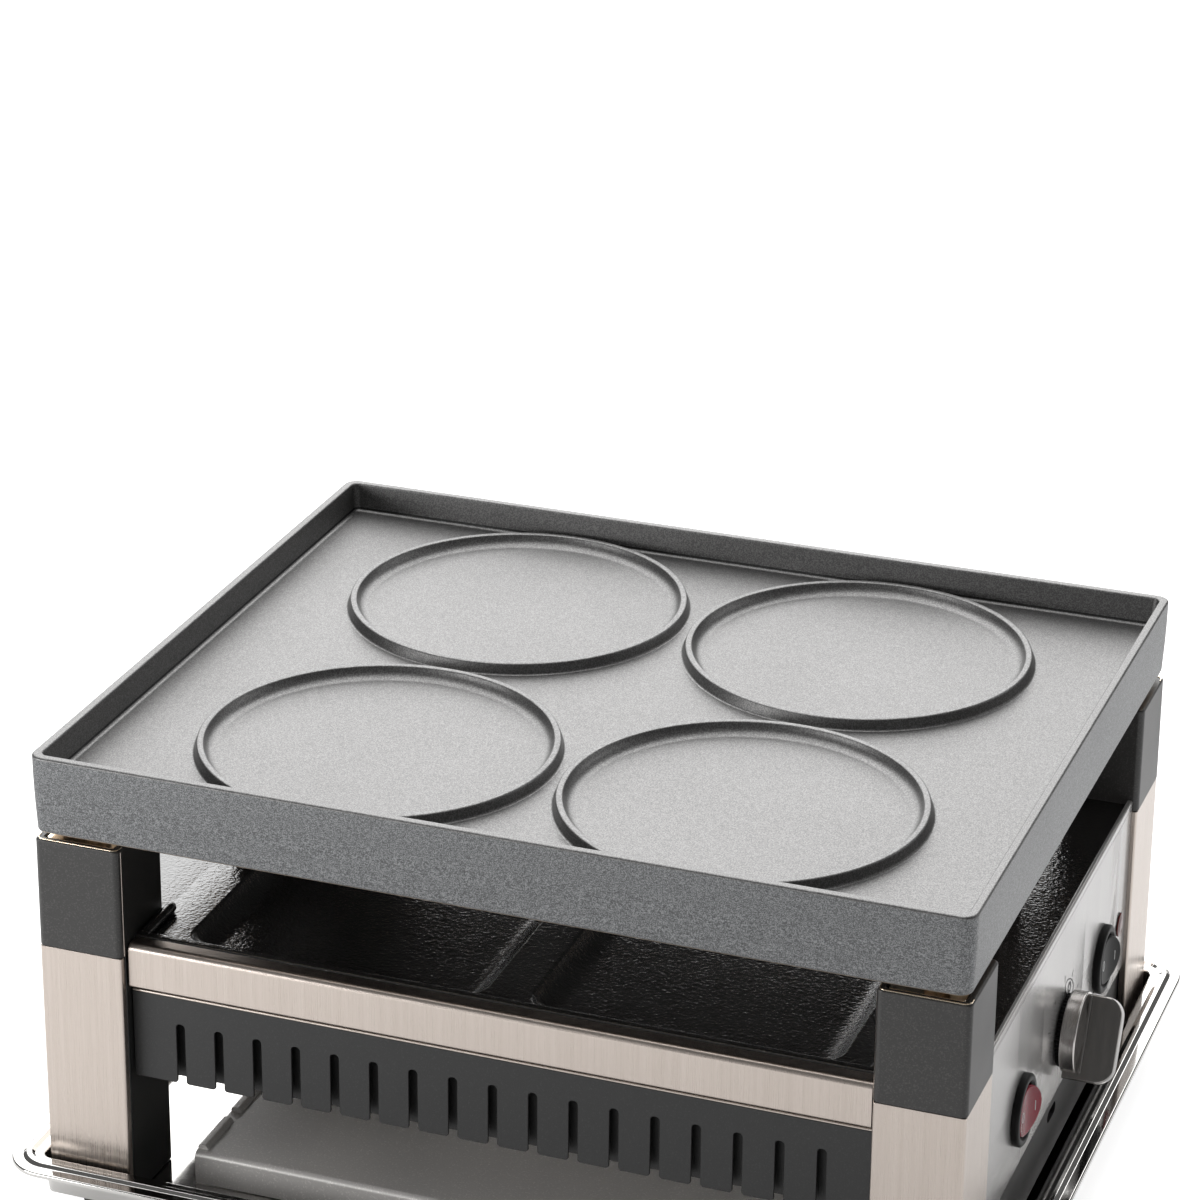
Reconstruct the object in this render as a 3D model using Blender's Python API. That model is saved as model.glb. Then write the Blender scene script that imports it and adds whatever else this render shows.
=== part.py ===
"""Electric table grill: a cast griddle plate with four ring ridges on four corner posts, over an
enamelled pan tray, a lower grilling bay and a base tray, with the controls on the right side.

Metres, +Z up. The front faces -Y and the control panel faces +X. Places are measured from the
middle of the griddle plate and from the table. The empty grill_frame carries every piece and moves
the whole grill along X, so that the world origin lies under the middle of its outer box.
"""

import math

import bmesh
import bpy
from mathutils import Vector

# Clearances
FIT_GAP = 0.0003
OVERRUN = 0.002

# Corners and curves, as counts
CORNER_STEPS = 4
TURN_STEPS = 20
SMALL_TURN_STEPS = 12
RIDGE_STEPS = 32
BEND_STEPS = 5
SLOT_STEPS = 4
CAP_CORNER_STEPS = 2
SLOT_CORNER_STEPS = 2
KNOB_STEPS = 28
SMALL_RIM_STEPS = 16
TUBE_RESOLUTION = 2

# Griddle plate
PLATE_LENGTH = 0.340
PLATE_WIDTH = 0.2833
PLATE_SKIRT = 0.0295
PLATE_CORNER = 0.0052
PLATE_RIM = 0.0034
PLATE_DRAFT = 0.0012
PLATE_WALL_DRAFT = 0.0009
PLATE_FILLET = 0.0022
PLATE_EDGE = 0.0008
PLATE_TOE = 0.0012
PLATE_SKIRT_WALL = 0.0060
PLATE_FLOOR_DEPTH = 0.0114
PLATE_FLOOR_THICKNESS = 0.0060
PLATE_PEG_RADIUS = 0.0045
PLATE_PEG_TIP = 0.0010

# Ring ridges on the griddle plate
RING_LAND = 0.00225
RING_GAP_X = 0.0042
RING_GAP_Y = 0.0060
RIDGE_WIDTH = 0.0052
RIDGE_HEIGHT = 0.0042
RIDGE_PROFILE_SHARES = ((-0.50, -0.15), (-0.28, 0.84), (0.0, 1.0), (0.28, 0.84), (0.50, -0.15))

# Feet, base tray and the plate over it
FOOT_HEIGHT = 0.0097
FOOT_RADIUS = 0.0120
FOOT_TAPER = 0.0015
FOOT_RECESS_RADIUS = 0.0054
FOOT_RECESS_DEPTH = 0.0050
TRAY_SHEET = 0.0010
TRAY_DEPTH = 0.0140
TRAY_FLANGE_X = 0.0125
TRAY_FLANGE_Y = 0.0120
TRAY_MARGIN = 0.0020
TRAY_CORNER = 0.0160
TRAY_BEAD_HEIGHT = 0.0012
TRAY_LIP = 0.0018
TRAY_BEAD_SHARES = ((0.36, 0), (0.46, 1), (0.60, 1), (0.70, 0))
TRAY_BEND_SHARE = 0.4
DECK_SHEET = 0.0012
DECK_RISE = 0.0130
DECK_LEFT_ROOM = 0.0152
DECK_FRONT_ROOM = 0.02345

# Corner posts
POST_INSET_X = 0.0005
POST_INSET_Y = 0.0022
POST_SIDE_X = 0.0320
POST_SIDE_Y = 0.0340
POST_HEIGHT = 0.0989
POST_SHEET = 0.0010
POST_RETURN = 0.0020
CAP_HEIGHT = 0.0419
CAP_WALL = 0.0024
CAP_PROUD = 0.0003
CAP_CORNER = 0.0018
CAP_EDGE = 0.0006
CAP_TO_PLATE = 0.0031
SEAT_RECESS = 0.0005
SEAT_HOLE_RADIUS = 0.0053
SEAT_HOLE_DEPTH = 0.0040
SCREW_SHANK_RADIUS = 0.0024
SCREW_HEAD_RADIUS = 0.0046
SCREW_HEAD = 0.0027
SCREW_HOLE_RADIUS = 0.0028
SCREW_BITE = 0.0160

# Crossbars, combs and strips, front and rear
BAR_RECESS = 0.0034
BAR_RISE = 0.0045
BAR_HEIGHT = 0.0170
BAR_DEPTH = 0.0070
BAR_SHEET = 0.0012
BAR_EDGE = 0.0025
BAR_RETURN = 0.0045
BAR_END_GAP = 0.0011
COMB_RECESS = 0.0035
COMB_GAP = 0.0030
COMB_HEIGHT = 0.0343
COMB_SHEET = 0.0010
COMB_FLANGE = 0.0040
SLOT_END_LAND = 0.0120
SLOT_PITCH = 0.01485
SLOT_WIDTH = 0.0033
SLOT_TOP_LAND = 0.0105
SLOT_CORNER = 0.0012
STRIP_SPACE = 0.0040
STRIP_SHEET = 0.0010
STRIP_TOP_DROP = 0.0030

# Pan tray
PAN_SHEET = 0.0012
PAN_DROP = 0.0020
PAN_BEAD_WIDTH = 0.0040
PAN_BEAD_RISE = 0.0024
PAN_BEAD_EDGE = 0.0009
DISH_SIDE_LAND = 0.0162
DISH_FRONT_LAND = 0.00475
DISH_SPACE_X = 0.0160
DISH_SPACE_Y = 0.0220
DISH_CORNER = 0.0100
DISH_DEPTH = 0.0056
DISH_SLOPE = 0.0050

# Side panels and the control housing
PANEL_RECESS = 0.0019
PANEL_SHEET = 0.0012
PANEL_RISE = 0.0200
PANEL_FLANGE = 0.0020
PANEL_SEAM = 0.0003
LEFT_PANEL_HEIGHT = 0.0540
HOUSING_GAP = 0.0009
HOUSING_WALL = 0.0016
HOUSING_TOP_GAP = 0.0020
HOUSING_RISE = 0.0060
HOUSING_SLOT_LENGTH = 0.0120
HOUSING_SLOT_HEIGHT = 0.0048
HOUSING_SLOT_Y = 0.0020
HOUSING_SLOT_DROP = 0.0095
CONTROL_RISE = 0.0230
KNOB_Y = 0.0060
MAIN_SWITCH_FROM_REAR = 0.04095
HEAT_SWITCH_FROM_FRONT = 0.05015
LAMP_FROM_REAR = 0.01165

# Knob and thermostat
KNOB_RADIUS = 0.0152
KNOB_GAP = 0.0020
KNOB_DISC = 0.0060
KNOB_EDGE = 0.0012
KNOB_COLLAR_RADIUS = 0.0130
KNOB_REACH = 0.0212
GRIP_THICKNESS = 0.0080
GRIP_CORNER = 0.0070
GRIP_TAIL = 0.0173
GRIP_TURN = math.radians(29)
SHAFT_RADIUS = 0.0030
SHAFT_BITE = 0.0030
BORE_CLEARANCE = 0.0003
BORE_DEPTH = 0.0075
THERMOSTAT_SIDE = 0.0280
THERMOSTAT_DEPTH = 0.0140
THERMOSTAT_ROOM = 0.0044
BUSH_LENGTH = 0.0080
BUSH_RADIUS = 0.0070
PANEL_HOLE_CLEARANCE = 0.0004

# Round rocker switches
SWITCH_RADIUS = 0.0132
SWITCH_RIM = 0.0026
SWITCH_EDGE = 0.0007
SWITCH_BARREL_RADIUS = 0.0121
SWITCH_BACK = 0.0150
ROCKER_RADIUS = 0.0094
ROCKER_FOOT_RADIUS = 0.0084
ROCKER_ABOVE = 0.0030
ROCKER_BELOW = 0.0040
ROCKER_FACE_DEG = 8.0
ROCKER_TILT_DEG = 9.0

# Pilot lamp
LAMP_RADIUS = 0.0047
LAMP_DOME = 0.0009
LAMP_BARREL_RADIUS = 0.0037
LAMP_BACK = 0.0130
LENS_PROFILE_SHARES = ((1.0, 0.0), (1.0, 0.35), (0.82, 0.75), (0.45, 1.0))

# Terminal block and cord inlet
TERMINAL_DEPTH = 0.0120
TERMINAL_LENGTH = 0.0360
TERMINAL_HEIGHT = 0.0150
TERMINAL_FROM_REAR = 0.05715
TERMINAL_BORE_RADIUS = 0.0024
TERMINAL_BORES = 3
INLET_FROM_REAR = 0.02015
INLET_DROP = 0.0150
INLET_RADIUS = 0.0080
INLET_FLANGE = 0.0022
INLET_BARREL_RADIUS = 0.0060
INLET_BACK = 0.0040
INLET_BORE_RADIUS = 0.0036

# Heating elements
TUBE_RADIUS = 0.0035
TUBE_CLEARANCE = 0.0003
TUBE_BEND = 0.0120
UPPER_TUBE_DROP = 0.0223
UPPER_TUBE_LEFT_ROOM = 0.0153
UPPER_TUBE_FRONT_ROOM = 0.02875
UPPER_TUBE_INNER_Y = 0.0400
UPPER_TUBE_RETURN_ROOM = 0.0550
UPPER_LEAD_INSET = 0.0069
UPPER_LEAD_Y = 0.0140
UPPER_LEAD_INSIDE = 0.0055
LOWER_TUBE_DROP = 0.0202
LOWER_TUBE_LEFT_ROOM = 0.0172
LOWER_TUBE_OUTER_Y = 0.0720
LOWER_TUBE_INNER_Y = 0.0260
LOWER_TUBE_RETURN_ROOM = 0.0431
LOWER_LEAD = 0.0080
SUPPORT_SHEET = 0.0015
SUPPORT_INSET = 0.0135
SUPPORT_MARGIN = 0.0080
SUPPORT_FOOT = 0.0120
REFLECTOR_SHEET = 0.0008
REFLECTOR_DROP = 0.0090
REFLECTOR_LIP = 0.0120
CLIP_INSET = 0.0300
CLIP_SHEET = 0.0012

# Levels over the table, from the feet up
TRAY_UNDERSIDE = FOOT_HEIGHT + FIT_GAP
TRAY_FLOOR = TRAY_UNDERSIDE + TRAY_SHEET
POST_FOOT = TRAY_FLOOR + FIT_GAP
POST_TOP = POST_FOOT + POST_HEIGHT
CAP_FOOT = POST_TOP + FIT_GAP
CAP_TOP = CAP_FOOT + CAP_HEIGHT
SEAT_TOP = CAP_TOP - SEAT_RECESS
SKIRT_FOOT = CAP_TOP + CAP_TO_PLATE
PLATE_TOP = SKIRT_FOOT + PLATE_SKIRT
PLATE_FLOOR = PLATE_TOP - PLATE_FLOOR_DEPTH
PLATE_UNDERSIDE = PLATE_FLOOR - PLATE_FLOOR_THICKNESS
BAR_TOP = CAP_FOOT + BAR_RISE
BAR_FOOT = BAR_TOP - BAR_HEIGHT
COMB_TOP = BAR_FOOT - COMB_GAP
COMB_FOOT = COMB_TOP - COMB_HEIGHT
STRIP_TOP = COMB_TOP - STRIP_TOP_DROP
PAN_TOP = BAR_TOP - PAN_DROP
PAN_UNDERSIDE = PAN_TOP - PAN_SHEET
DECK_TOP = TRAY_FLOOR + DECK_RISE
UPPER_TUBE_Z = PLATE_TOP - UPPER_TUBE_DROP
REFLECTOR_TOP = PAN_UNDERSIDE - DISH_DEPTH - REFLECTOR_DROP
LOWER_TUBE_Z = REFLECTOR_TOP - LOWER_TUBE_DROP
TRAY_RIM = TRAY_FLOOR + TRAY_DEPTH
PANEL_FOOT = TRAY_RIM + PANEL_RISE
CONTROL_Z = PANEL_FOOT + CONTROL_RISE
HOUSING_TOP = PAN_UNDERSIDE - HOUSING_TOP_GAP
HOUSING_BOTTOM = TRAY_FLOOR + HOUSING_RISE
HOUSING_SLOT_Z = PANEL_FOOT - HOUSING_SLOT_DROP
INLET_Z = PANEL_FOOT - INLET_DROP
UPPER_LEAD_FOOT = HOUSING_TOP - HOUSING_WALL - UPPER_LEAD_INSIDE

# Planes and edges, as distances from the middle
POST_OUT_X = PLATE_LENGTH / 2 - POST_INSET_X
POST_OUT_Y = PLATE_WIDTH / 2 - POST_INSET_Y
POST_IN_X = POST_OUT_X - POST_SIDE_X
POST_IN_Y = POST_OUT_Y - POST_SIDE_Y
POST_MIDDLE_X = POST_OUT_X - POST_SIDE_X / 2
POST_MIDDLE_Y = POST_OUT_Y - POST_SIDE_Y / 2
BAR_FACE = POST_OUT_Y - BAR_RECESS
COMB_FACE = BAR_FACE - COMB_RECESS
STRIP_FACE = COMB_FACE - COMB_SHEET - STRIP_SPACE
PANEL_FACE = POST_OUT_X - PANEL_RECESS
PANEL_BACK = PANEL_FACE - PANEL_SHEET
PAN_EDGE_X = PANEL_FACE - PANEL_FLANGE - PANEL_SEAM
PAN_EDGE_Y = BAR_FACE - BAR_DEPTH - FIT_GAP
SPAN_X = POST_IN_X - FIT_GAP
SPAN_Y = POST_IN_Y - FIT_GAP
HOUSING_FACE = PANEL_BACK - FIT_GAP
HOUSING_DEPTH = BUSH_LENGTH + THERMOSTAT_DEPTH + THERMOSTAT_ROOM + HOUSING_WALL
HOUSING_INNER = HOUSING_FACE - HOUSING_DEPTH
BAY_RIGHT = HOUSING_INNER - HOUSING_GAP
TRAY_WELL_X = POST_OUT_X + TRAY_MARGIN
TRAY_WELL_Y = POST_OUT_Y + TRAY_MARGIN
TRAY_EDGE_X = TRAY_WELL_X + TRAY_FLANGE_X
TRAY_EDGE_Y = TRAY_WELL_Y + TRAY_FLANGE_Y
DECK_LEFT = SPAN_X - DECK_LEFT_ROOM
DECK_REACH_Y = TRAY_WELL_Y - DECK_FRONT_ROOM
FRAME_SHIFT = (PANEL_FACE + KNOB_REACH - TRAY_EDGE_X) / 2

# The rings fill the plate's width, the dishes the pan tray, and the slots the comb
RING_FIELD_Y = PLATE_WIDTH / 2 - PLATE_RIM - PLATE_DRAFT - RING_LAND
RING_RADIUS = (RING_FIELD_Y - RING_GAP_Y / 2 - RIDGE_WIDTH) / 2
RING_PITCH_X = 2 * RING_RADIUS + RIDGE_WIDTH + RING_GAP_X
RING_PITCH_Y = 2 * RING_RADIUS + RIDGE_WIDTH + RING_GAP_Y
DISH_LENGTH_X = SPAN_X - DISH_SIDE_LAND - DISH_SPACE_X / 2
DISH_LENGTH_Y = PAN_EDGE_Y - DISH_FRONT_LAND - DISH_SPACE_Y / 2
SLOTS_A_SIDE = int((SPAN_X - SLOT_END_LAND) / SLOT_PITCH)

# Controls and the inlet, from the panel's ends
MAIN_SWITCH_Y = SPAN_Y - MAIN_SWITCH_FROM_REAR
HEAT_SWITCH_Y = HEAT_SWITCH_FROM_FRONT - SPAN_Y
LAMP_Y = SPAN_Y - LAMP_FROM_REAR
TERMINAL_Y = SPAN_Y - TERMINAL_FROM_REAR
INLET_Y = SPAN_Y - INLET_FROM_REAR

# The heaters' runs, from the housing and the pan tray
UPPER_TUBE_RIGHT = HOUSING_INNER + UPPER_LEAD_INSET
UPPER_TUBE_LEFT = PAN_EDGE_X - UPPER_TUBE_LEFT_ROOM
UPPER_TUBE_OUTER_Y = PAN_EDGE_Y - UPPER_TUBE_FRONT_ROOM
UPPER_TUBE_RETURN_X = UPPER_TUBE_RIGHT - UPPER_TUBE_RETURN_ROOM
SUPPORT_X = UPPER_TUBE_LEFT - SUPPORT_INSET
LOWER_TUBE_LEFT = SPAN_X - LOWER_TUBE_LEFT_ROOM
LOWER_TUBE_RETURN_X = HOUSING_INNER - LOWER_TUBE_RETURN_ROOM
CLIP_X = LOWER_TUBE_LEFT - CLIP_INSET

# The pocket that a rocker tips in, just clear of the rocker at both ends of its travel
ROCKER_TILT = math.radians(ROCKER_TILT_DEG)
ROCKER_SLOPE = math.tan(math.radians(ROCKER_FACE_DEG))
ROCKER_CROWN = ROCKER_ABOVE + ROCKER_RADIUS * ROCKER_SLOPE
POCKET_RADIUS = (ROCKER_RADIUS * math.cos(ROCKER_TILT) + ROCKER_CROWN * math.sin(ROCKER_TILT)
                 + FIT_GAP)
POCKET_FLOOR = -(ROCKER_BELOW * math.cos(ROCKER_TILT) + ROCKER_FOOT_RADIUS * math.sin(ROCKER_TILT)
                 + FIT_GAP)

# How far in from the two sides of a corner the middle of its arc lies, as a share of the radius
MIDWAY_ON_ARC = 1 - math.sqrt(0.5)

# Finishes: colour, roughness, metallic
CAST_COATING = ((0.055, 0.056, 0.062), 0.50, 0.25)
STAINLESS = ((0.62, 0.58, 0.54), 0.30, 1.0)
MIRROR_STEEL = ((0.72, 0.71, 0.69), 0.08, 1.0)
SATIN_NICKEL = ((0.42, 0.41, 0.39), 0.28, 1.0)
ENAMEL = ((0.012, 0.012, 0.012), 0.10, 0.0)
BLACK_LACQUER = ((0.030, 0.030, 0.029), 0.50, 0.0)
BLACK_PLASTIC = ((0.020, 0.020, 0.021), 0.42, 0.0)
GREY_SHEET = ((0.19, 0.18, 0.17), 0.45, 0.8)
HEATER_STEEL = ((0.14, 0.13, 0.12), 0.45, 0.9)
RED_LENS = ((0.30, 0.018, 0.040), 0.18, 0.0)
CERAMIC = ((0.62, 0.60, 0.55), 0.60, 0.0)
RUBBER = ((0.025, 0.025, 0.025), 0.80, 0.0)


# Outlines and rings

def rounded_outline(half_a, half_b, radius, steps=CORNER_STEPS):
    """A rectangle with round corners, counter-clockwise from its right side."""
    points = []
    for quarter, (side_a, side_b) in enumerate(((1, 1), (-1, 1), (-1, -1), (1, -1))):
        for step in range(steps + 1):
            angle = (quarter + step / steps) * math.pi / 2
            a = side_a * (half_a - radius) + radius * math.cos(angle)
            b = side_b * (half_b - radius) + radius * math.sin(angle)
            points.append((a, b))
    return points


def circle_outline(radius, steps=TURN_STEPS):
    turns = (2 * math.pi * step / steps for step in range(steps))
    return [(radius * math.cos(turn), radius * math.sin(turn)) for turn in turns]


def arc(centre_a, centre_b, radius, start, end, steps):
    """Points on an arc from the angle start to the angle end, in degrees."""
    points = []
    for step in range(steps + 1):
        angle = math.radians(start + (end - start) * step / steps)
        points.append((centre_a + radius * math.cos(angle), centre_b + radius * math.sin(angle)))
    return points


def lifted(outline, axis, level, centre=(0, 0)):
    """The outline's points in space, on the plane where the axis has this level."""
    points = []
    for a, b in outline:
        a, b = a + centre[0], b + centre[1]
        points.append({"X": (level, a, b), "Y": (a, level, b), "Z": (a, b, level)}[axis])
    return points


# Objects

def finish_for(name, finish):
    colour, roughness, metallic = finish
    material = bpy.data.materials.new(name)
    material.use_nodes = True
    shader = material.node_tree.nodes["Principled BSDF"]
    shader.inputs["Base Color"].default_value = (*colour, 1)
    shader.inputs["Roughness"].default_value = roughness
    shader.inputs["Metallic"].default_value = metallic
    return material


def piece_from(name, shape, finish=None, smooth=False):
    """An object with this bmesh. A piece without a finish is a helper for a Boolean."""
    bmesh.ops.recalc_face_normals(shape, faces=shape.faces)
    mesh = bpy.data.meshes.new(name)
    shape.to_mesh(mesh)
    shape.free()
    piece = bpy.data.objects.new(name, mesh)
    bpy.context.scene.collection.objects.link(piece)
    if finish is None:
        piece.hide_render = True
        piece.display_type = "WIRE"
    else:
        mesh.materials.append(finish_for(name, finish))
    if smooth:
        mesh.shade_smooth()
        mesh.set_sharp_from_angle(angle=math.radians(35))
    return piece


def add_rings(shape, rings, looped=False):
    """Joins rings of equally many points. The ends are closed, or joined when looped."""
    rows = [[shape.verts.new(point) for point in ring] for ring in rings]
    pairs = list(zip(rows, rows[1:]))
    if looped:
        pairs.append((rows[-1], rows[0]))
    for low, high in pairs:
        for i, vertex in enumerate(low):
            following = (i + 1) % len(low)
            shape.faces.new((vertex, low[following], high[following], high[i]))
    if not looped:
        shape.faces.new(rows[0])
        shape.faces.new(rows[-1])


def lofted(name, rings, finish=None, looped=False, smooth=False):
    shape = bmesh.new()
    add_rings(shape, rings, looped)
    return piece_from(name, shape, finish, smooth)


def extruded(name, outline, axis, low, high, finish=None):
    return lofted(name, [lifted(outline, axis, level) for level in (low, high)], finish)


def block(name, x, y, z, finish=None):
    """A box between the two values of each of x, y and z."""
    outline = [(x[0], y[0]), (x[1], y[0]), (x[1], y[1]), (x[0], y[1])]
    return extruded(name, outline, "Z", z[0], z[1], finish)


def turned(name, profile, axis, centre, finish=None, steps=TURN_STEPS, looped=False):
    """A turned piece from (radius, level) pairs along the axis, round a line through the centre."""
    rings = [lifted(circle_outline(radius, steps), axis, level, centre) for radius, level in profile]
    return lofted(name, rings, finish, looped, smooth=True)


def cylinder(name, radius, axis, centre, low, high, steps=SMALL_TURN_STEPS):
    return turned(name, ((radius, low), (radius, high)), axis, centre, steps=steps)


def boolean(piece, other, operation):
    modifier = piece.modifiers.new(other.name, "BOOLEAN")
    modifier.operation = operation
    modifier.object = other


def cut(piece, *cutters):
    for cutter in cutters:
        boolean(piece, cutter, "DIFFERENCE")


def join(piece, *additions):
    for addition in additions:
        boolean(piece, addition, "UNION")


def tube(name, route, radius, finish):
    """A round tube along the route's points, with closed ends."""
    curve = bpy.data.curves.new(name, "CURVE")
    curve.dimensions = "3D"
    curve.bevel_depth = radius
    curve.bevel_resolution = TUBE_RESOLUTION
    curve.use_fill_caps = True
    line = curve.splines.new("POLY")
    line.points.add(len(route) - 1)
    for point, place in zip(line.points, route):
        point.co = (*place, 1)
    curve.materials.append(finish_for(name, finish))
    piece = bpy.data.objects.new(name, curve)
    bpy.context.scene.collection.objects.link(piece)
    return piece


def bent_route(corners, radius):
    """The corners joined by straight runs, with each inner corner rounded to the radius."""
    points = [Vector(corners[0])]
    for before, corner, after in zip(corners, corners[1:], corners[2:]):
        corner = Vector(corner)
        inward = (Vector(before) - corner).normalized()
        outward = (Vector(after) - corner).normalized()
        centre = corner + radius * (inward + outward)
        for step in range(BEND_STEPS + 1):
            angle = step / BEND_STEPS * math.pi / 2
            points.append(centre - radius * (outward * math.cos(angle) + inward * math.sin(angle)))
    points.append(Vector(corners[-1]))
    return points


# The griddle plate

def make_griddle_plate():
    inner = PLATE_RIM + PLATE_DRAFT
    foot = PLATE_WALL_DRAFT
    toe = PLATE_TOE * MIDWAY_ON_ARC
    soft = PLATE_FILLET * MIDWAY_ON_ARC
    profile = (
        (PLATE_SKIRT_WALL + PLATE_DRAFT, PLATE_UNDERSIDE),
        (PLATE_SKIRT_WALL, SKIRT_FOOT),
        (foot + PLATE_TOE, SKIRT_FOOT),
        (foot + toe, SKIRT_FOOT + toe),
        (foot, SKIRT_FOOT + PLATE_TOE),
        (0, PLATE_TOP - PLATE_EDGE),
        (PLATE_EDGE, PLATE_TOP),
        (PLATE_RIM, PLATE_TOP),
        (inner, PLATE_FLOOR + PLATE_FILLET),
        (inner + soft, PLATE_FLOOR + soft),
        (inner + PLATE_FILLET, PLATE_FLOOR),
    )
    rings = []
    for inset, level in profile:
        corner = max(PLATE_CORNER - inset, PLATE_EDGE)
        outline = rounded_outline(PLATE_LENGTH / 2 - inset, PLATE_WIDTH / 2 - inset, corner)
        rings.append(lifted(outline, "Z", level))
    plate = lofted("griddle_plate", rings, CAST_COATING, smooth=True)

    ridges = bmesh.new()
    for side_x in (-1, 1):
        for side_y in (-1, 1):
            centre = (side_x * RING_PITCH_X / 2, side_y * RING_PITCH_Y / 2)
            rings = []
            for across, up in RIDGE_PROFILE_SHARES:
                circle = circle_outline(RING_RADIUS + across * RIDGE_WIDTH, RIDGE_STEPS)
                rings.append(lifted(circle, "Z", PLATE_FLOOR + up * RIDGE_HEIGHT, centre))
            add_rings(ridges, rings, looped=True)
    join(plate, piece_from("plate_ridges", ridges))

    pegs = bmesh.new()
    peg_foot = SEAT_TOP - SEAT_HOLE_DEPTH + FIT_GAP
    for side_x in (-1, 1):
        for side_y in (-1, 1):
            centre = (side_x * POST_MIDDLE_X, side_y * POST_MIDDLE_Y)
            peg = (
                (PLATE_PEG_RADIUS - PLATE_PEG_TIP, peg_foot),
                (PLATE_PEG_RADIUS, peg_foot + PLATE_PEG_TIP),
                (PLATE_PEG_RADIUS, PLATE_UNDERSIDE + PLATE_FLOOR_THICKNESS / 2),
            )
            rings = [lifted(circle_outline(r, SMALL_TURN_STEPS), "Z", z, centre) for r, z in peg]
            add_rings(pegs, rings)
    join(plate, piece_from("plate_pegs", pegs))


# Posts, caps and what fastens them

CORNERS = {
    "front_left": (-1, -1),
    "front_right": (1, -1),
    "rear_left": (-1, 1),
    "rear_right": (1, 1),
}


def post_section(points, side_x, side_y):
    """Points given inward from a post's outer corner, placed at one corner of the grill."""
    return [(side_x * (POST_OUT_X - u), side_y * (POST_OUT_Y - v)) for u, v in points]


def make_post(corner, side_x, side_y):
    """A black core column, and the steel cover that wraps its two outer faces."""
    x, y, sheet = POST_SIDE_X, POST_SIDE_Y, POST_SHEET
    lip = sheet + POST_RETURN
    cover = (
        (0, 0), (x, 0), (x, lip), (x - sheet, lip), (x - sheet, sheet),
        (sheet, sheet), (sheet, y - sheet), (lip, y - sheet), (lip, y), (0, y),
    )
    outline = post_section(cover, side_x, side_y)
    extruded(corner + "_post_cover", outline, "Z", POST_FOOT, POST_TOP, STAINLESS)

    near = sheet + FIT_GAP
    far = lip + FIT_GAP
    core = (
        (near, near), (x - near, near), (x - near, far), (x, far),
        (x, y), (far, y), (far, y - near), (near, y - near),
    )
    outline = post_section(core, side_x, side_y)
    column = extruded(corner + "_post_core", outline, "Z", POST_FOOT, POST_TOP, BLACK_LACQUER)
    centre = (side_x * POST_MIDDLE_X, side_y * POST_MIDDLE_Y)
    screw_hole_top = POST_FOOT + SCREW_BITE + OVERRUN
    cut(column, cylinder(corner + "_post_hole", SCREW_HOLE_RADIUS, "Z", centre,
                         POST_FOOT - OVERRUN, screw_hole_top))


def cap_outline(inset):
    half_x, half_y = POST_SIDE_X / 2 - inset, POST_SIDE_Y / 2 - inset
    return rounded_outline(half_x, half_y, CAP_CORNER, CAP_CORNER_STEPS)


def make_cap(corner, side_x, side_y):
    """The black sleeve on top of a post, and the polished plug that the plate's peg stands in."""
    centre = (side_x * POST_MIDDLE_X, side_y * POST_MIDDLE_Y)
    profile = (
        (-CAP_PROUD, CAP_FOOT),
        (-CAP_PROUD, CAP_TOP - CAP_EDGE),
        (CAP_EDGE - CAP_PROUD, CAP_TOP),
        (CAP_WALL, CAP_TOP),
        (CAP_WALL, CAP_FOOT),
    )
    rings = []
    for inset, level in profile:
        rings.append(lifted(cap_outline(inset), "Z", level, centre))
    lofted(corner + "_cap", rings, BLACK_PLASTIC, looped=True)

    outline = cap_outline(CAP_WALL + FIT_GAP)
    rings = [lifted(outline, "Z", level, centre) for level in (CAP_FOOT, SEAT_TOP)]
    seat = lofted(corner + "_plate_seat", rings, MIRROR_STEEL)
    cut(seat, cylinder(corner + "_seat_hole", SEAT_HOLE_RADIUS, "Z", centre,
                       SEAT_TOP - SEAT_HOLE_DEPTH, SEAT_TOP + OVERRUN))


def make_foot(corner, side_x, side_y):
    """A rubber foot under the base tray, and the screw through it into the post."""
    centre = (side_x * POST_MIDDLE_X, side_y * POST_MIDDLE_Y)
    recess_top = FOOT_RECESS_DEPTH
    profile = (
        (FOOT_RADIUS - FOOT_TAPER, 0),
        (FOOT_RADIUS, FOOT_HEIGHT),
        (SCREW_HOLE_RADIUS, FOOT_HEIGHT),
        (SCREW_HOLE_RADIUS, recess_top),
        (FOOT_RECESS_RADIUS, recess_top),
        (FOOT_RECESS_RADIUS, 0),
    )
    turned(corner + "_foot", profile, "Z", centre, RUBBER, SMALL_TURN_STEPS, looped=True)
    head_top = recess_top - FIT_GAP
    screw = (
        (SCREW_HEAD_RADIUS, head_top - SCREW_HEAD),
        (SCREW_HEAD_RADIUS, head_top),
        (SCREW_SHANK_RADIUS, head_top),
        (SCREW_SHANK_RADIUS, POST_FOOT + SCREW_BITE),
    )
    turned(corner + "_post_screw", screw, "Z", centre, MIRROR_STEEL, SMALL_TURN_STEPS)


# Crossbars, combs and inner strips

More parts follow.
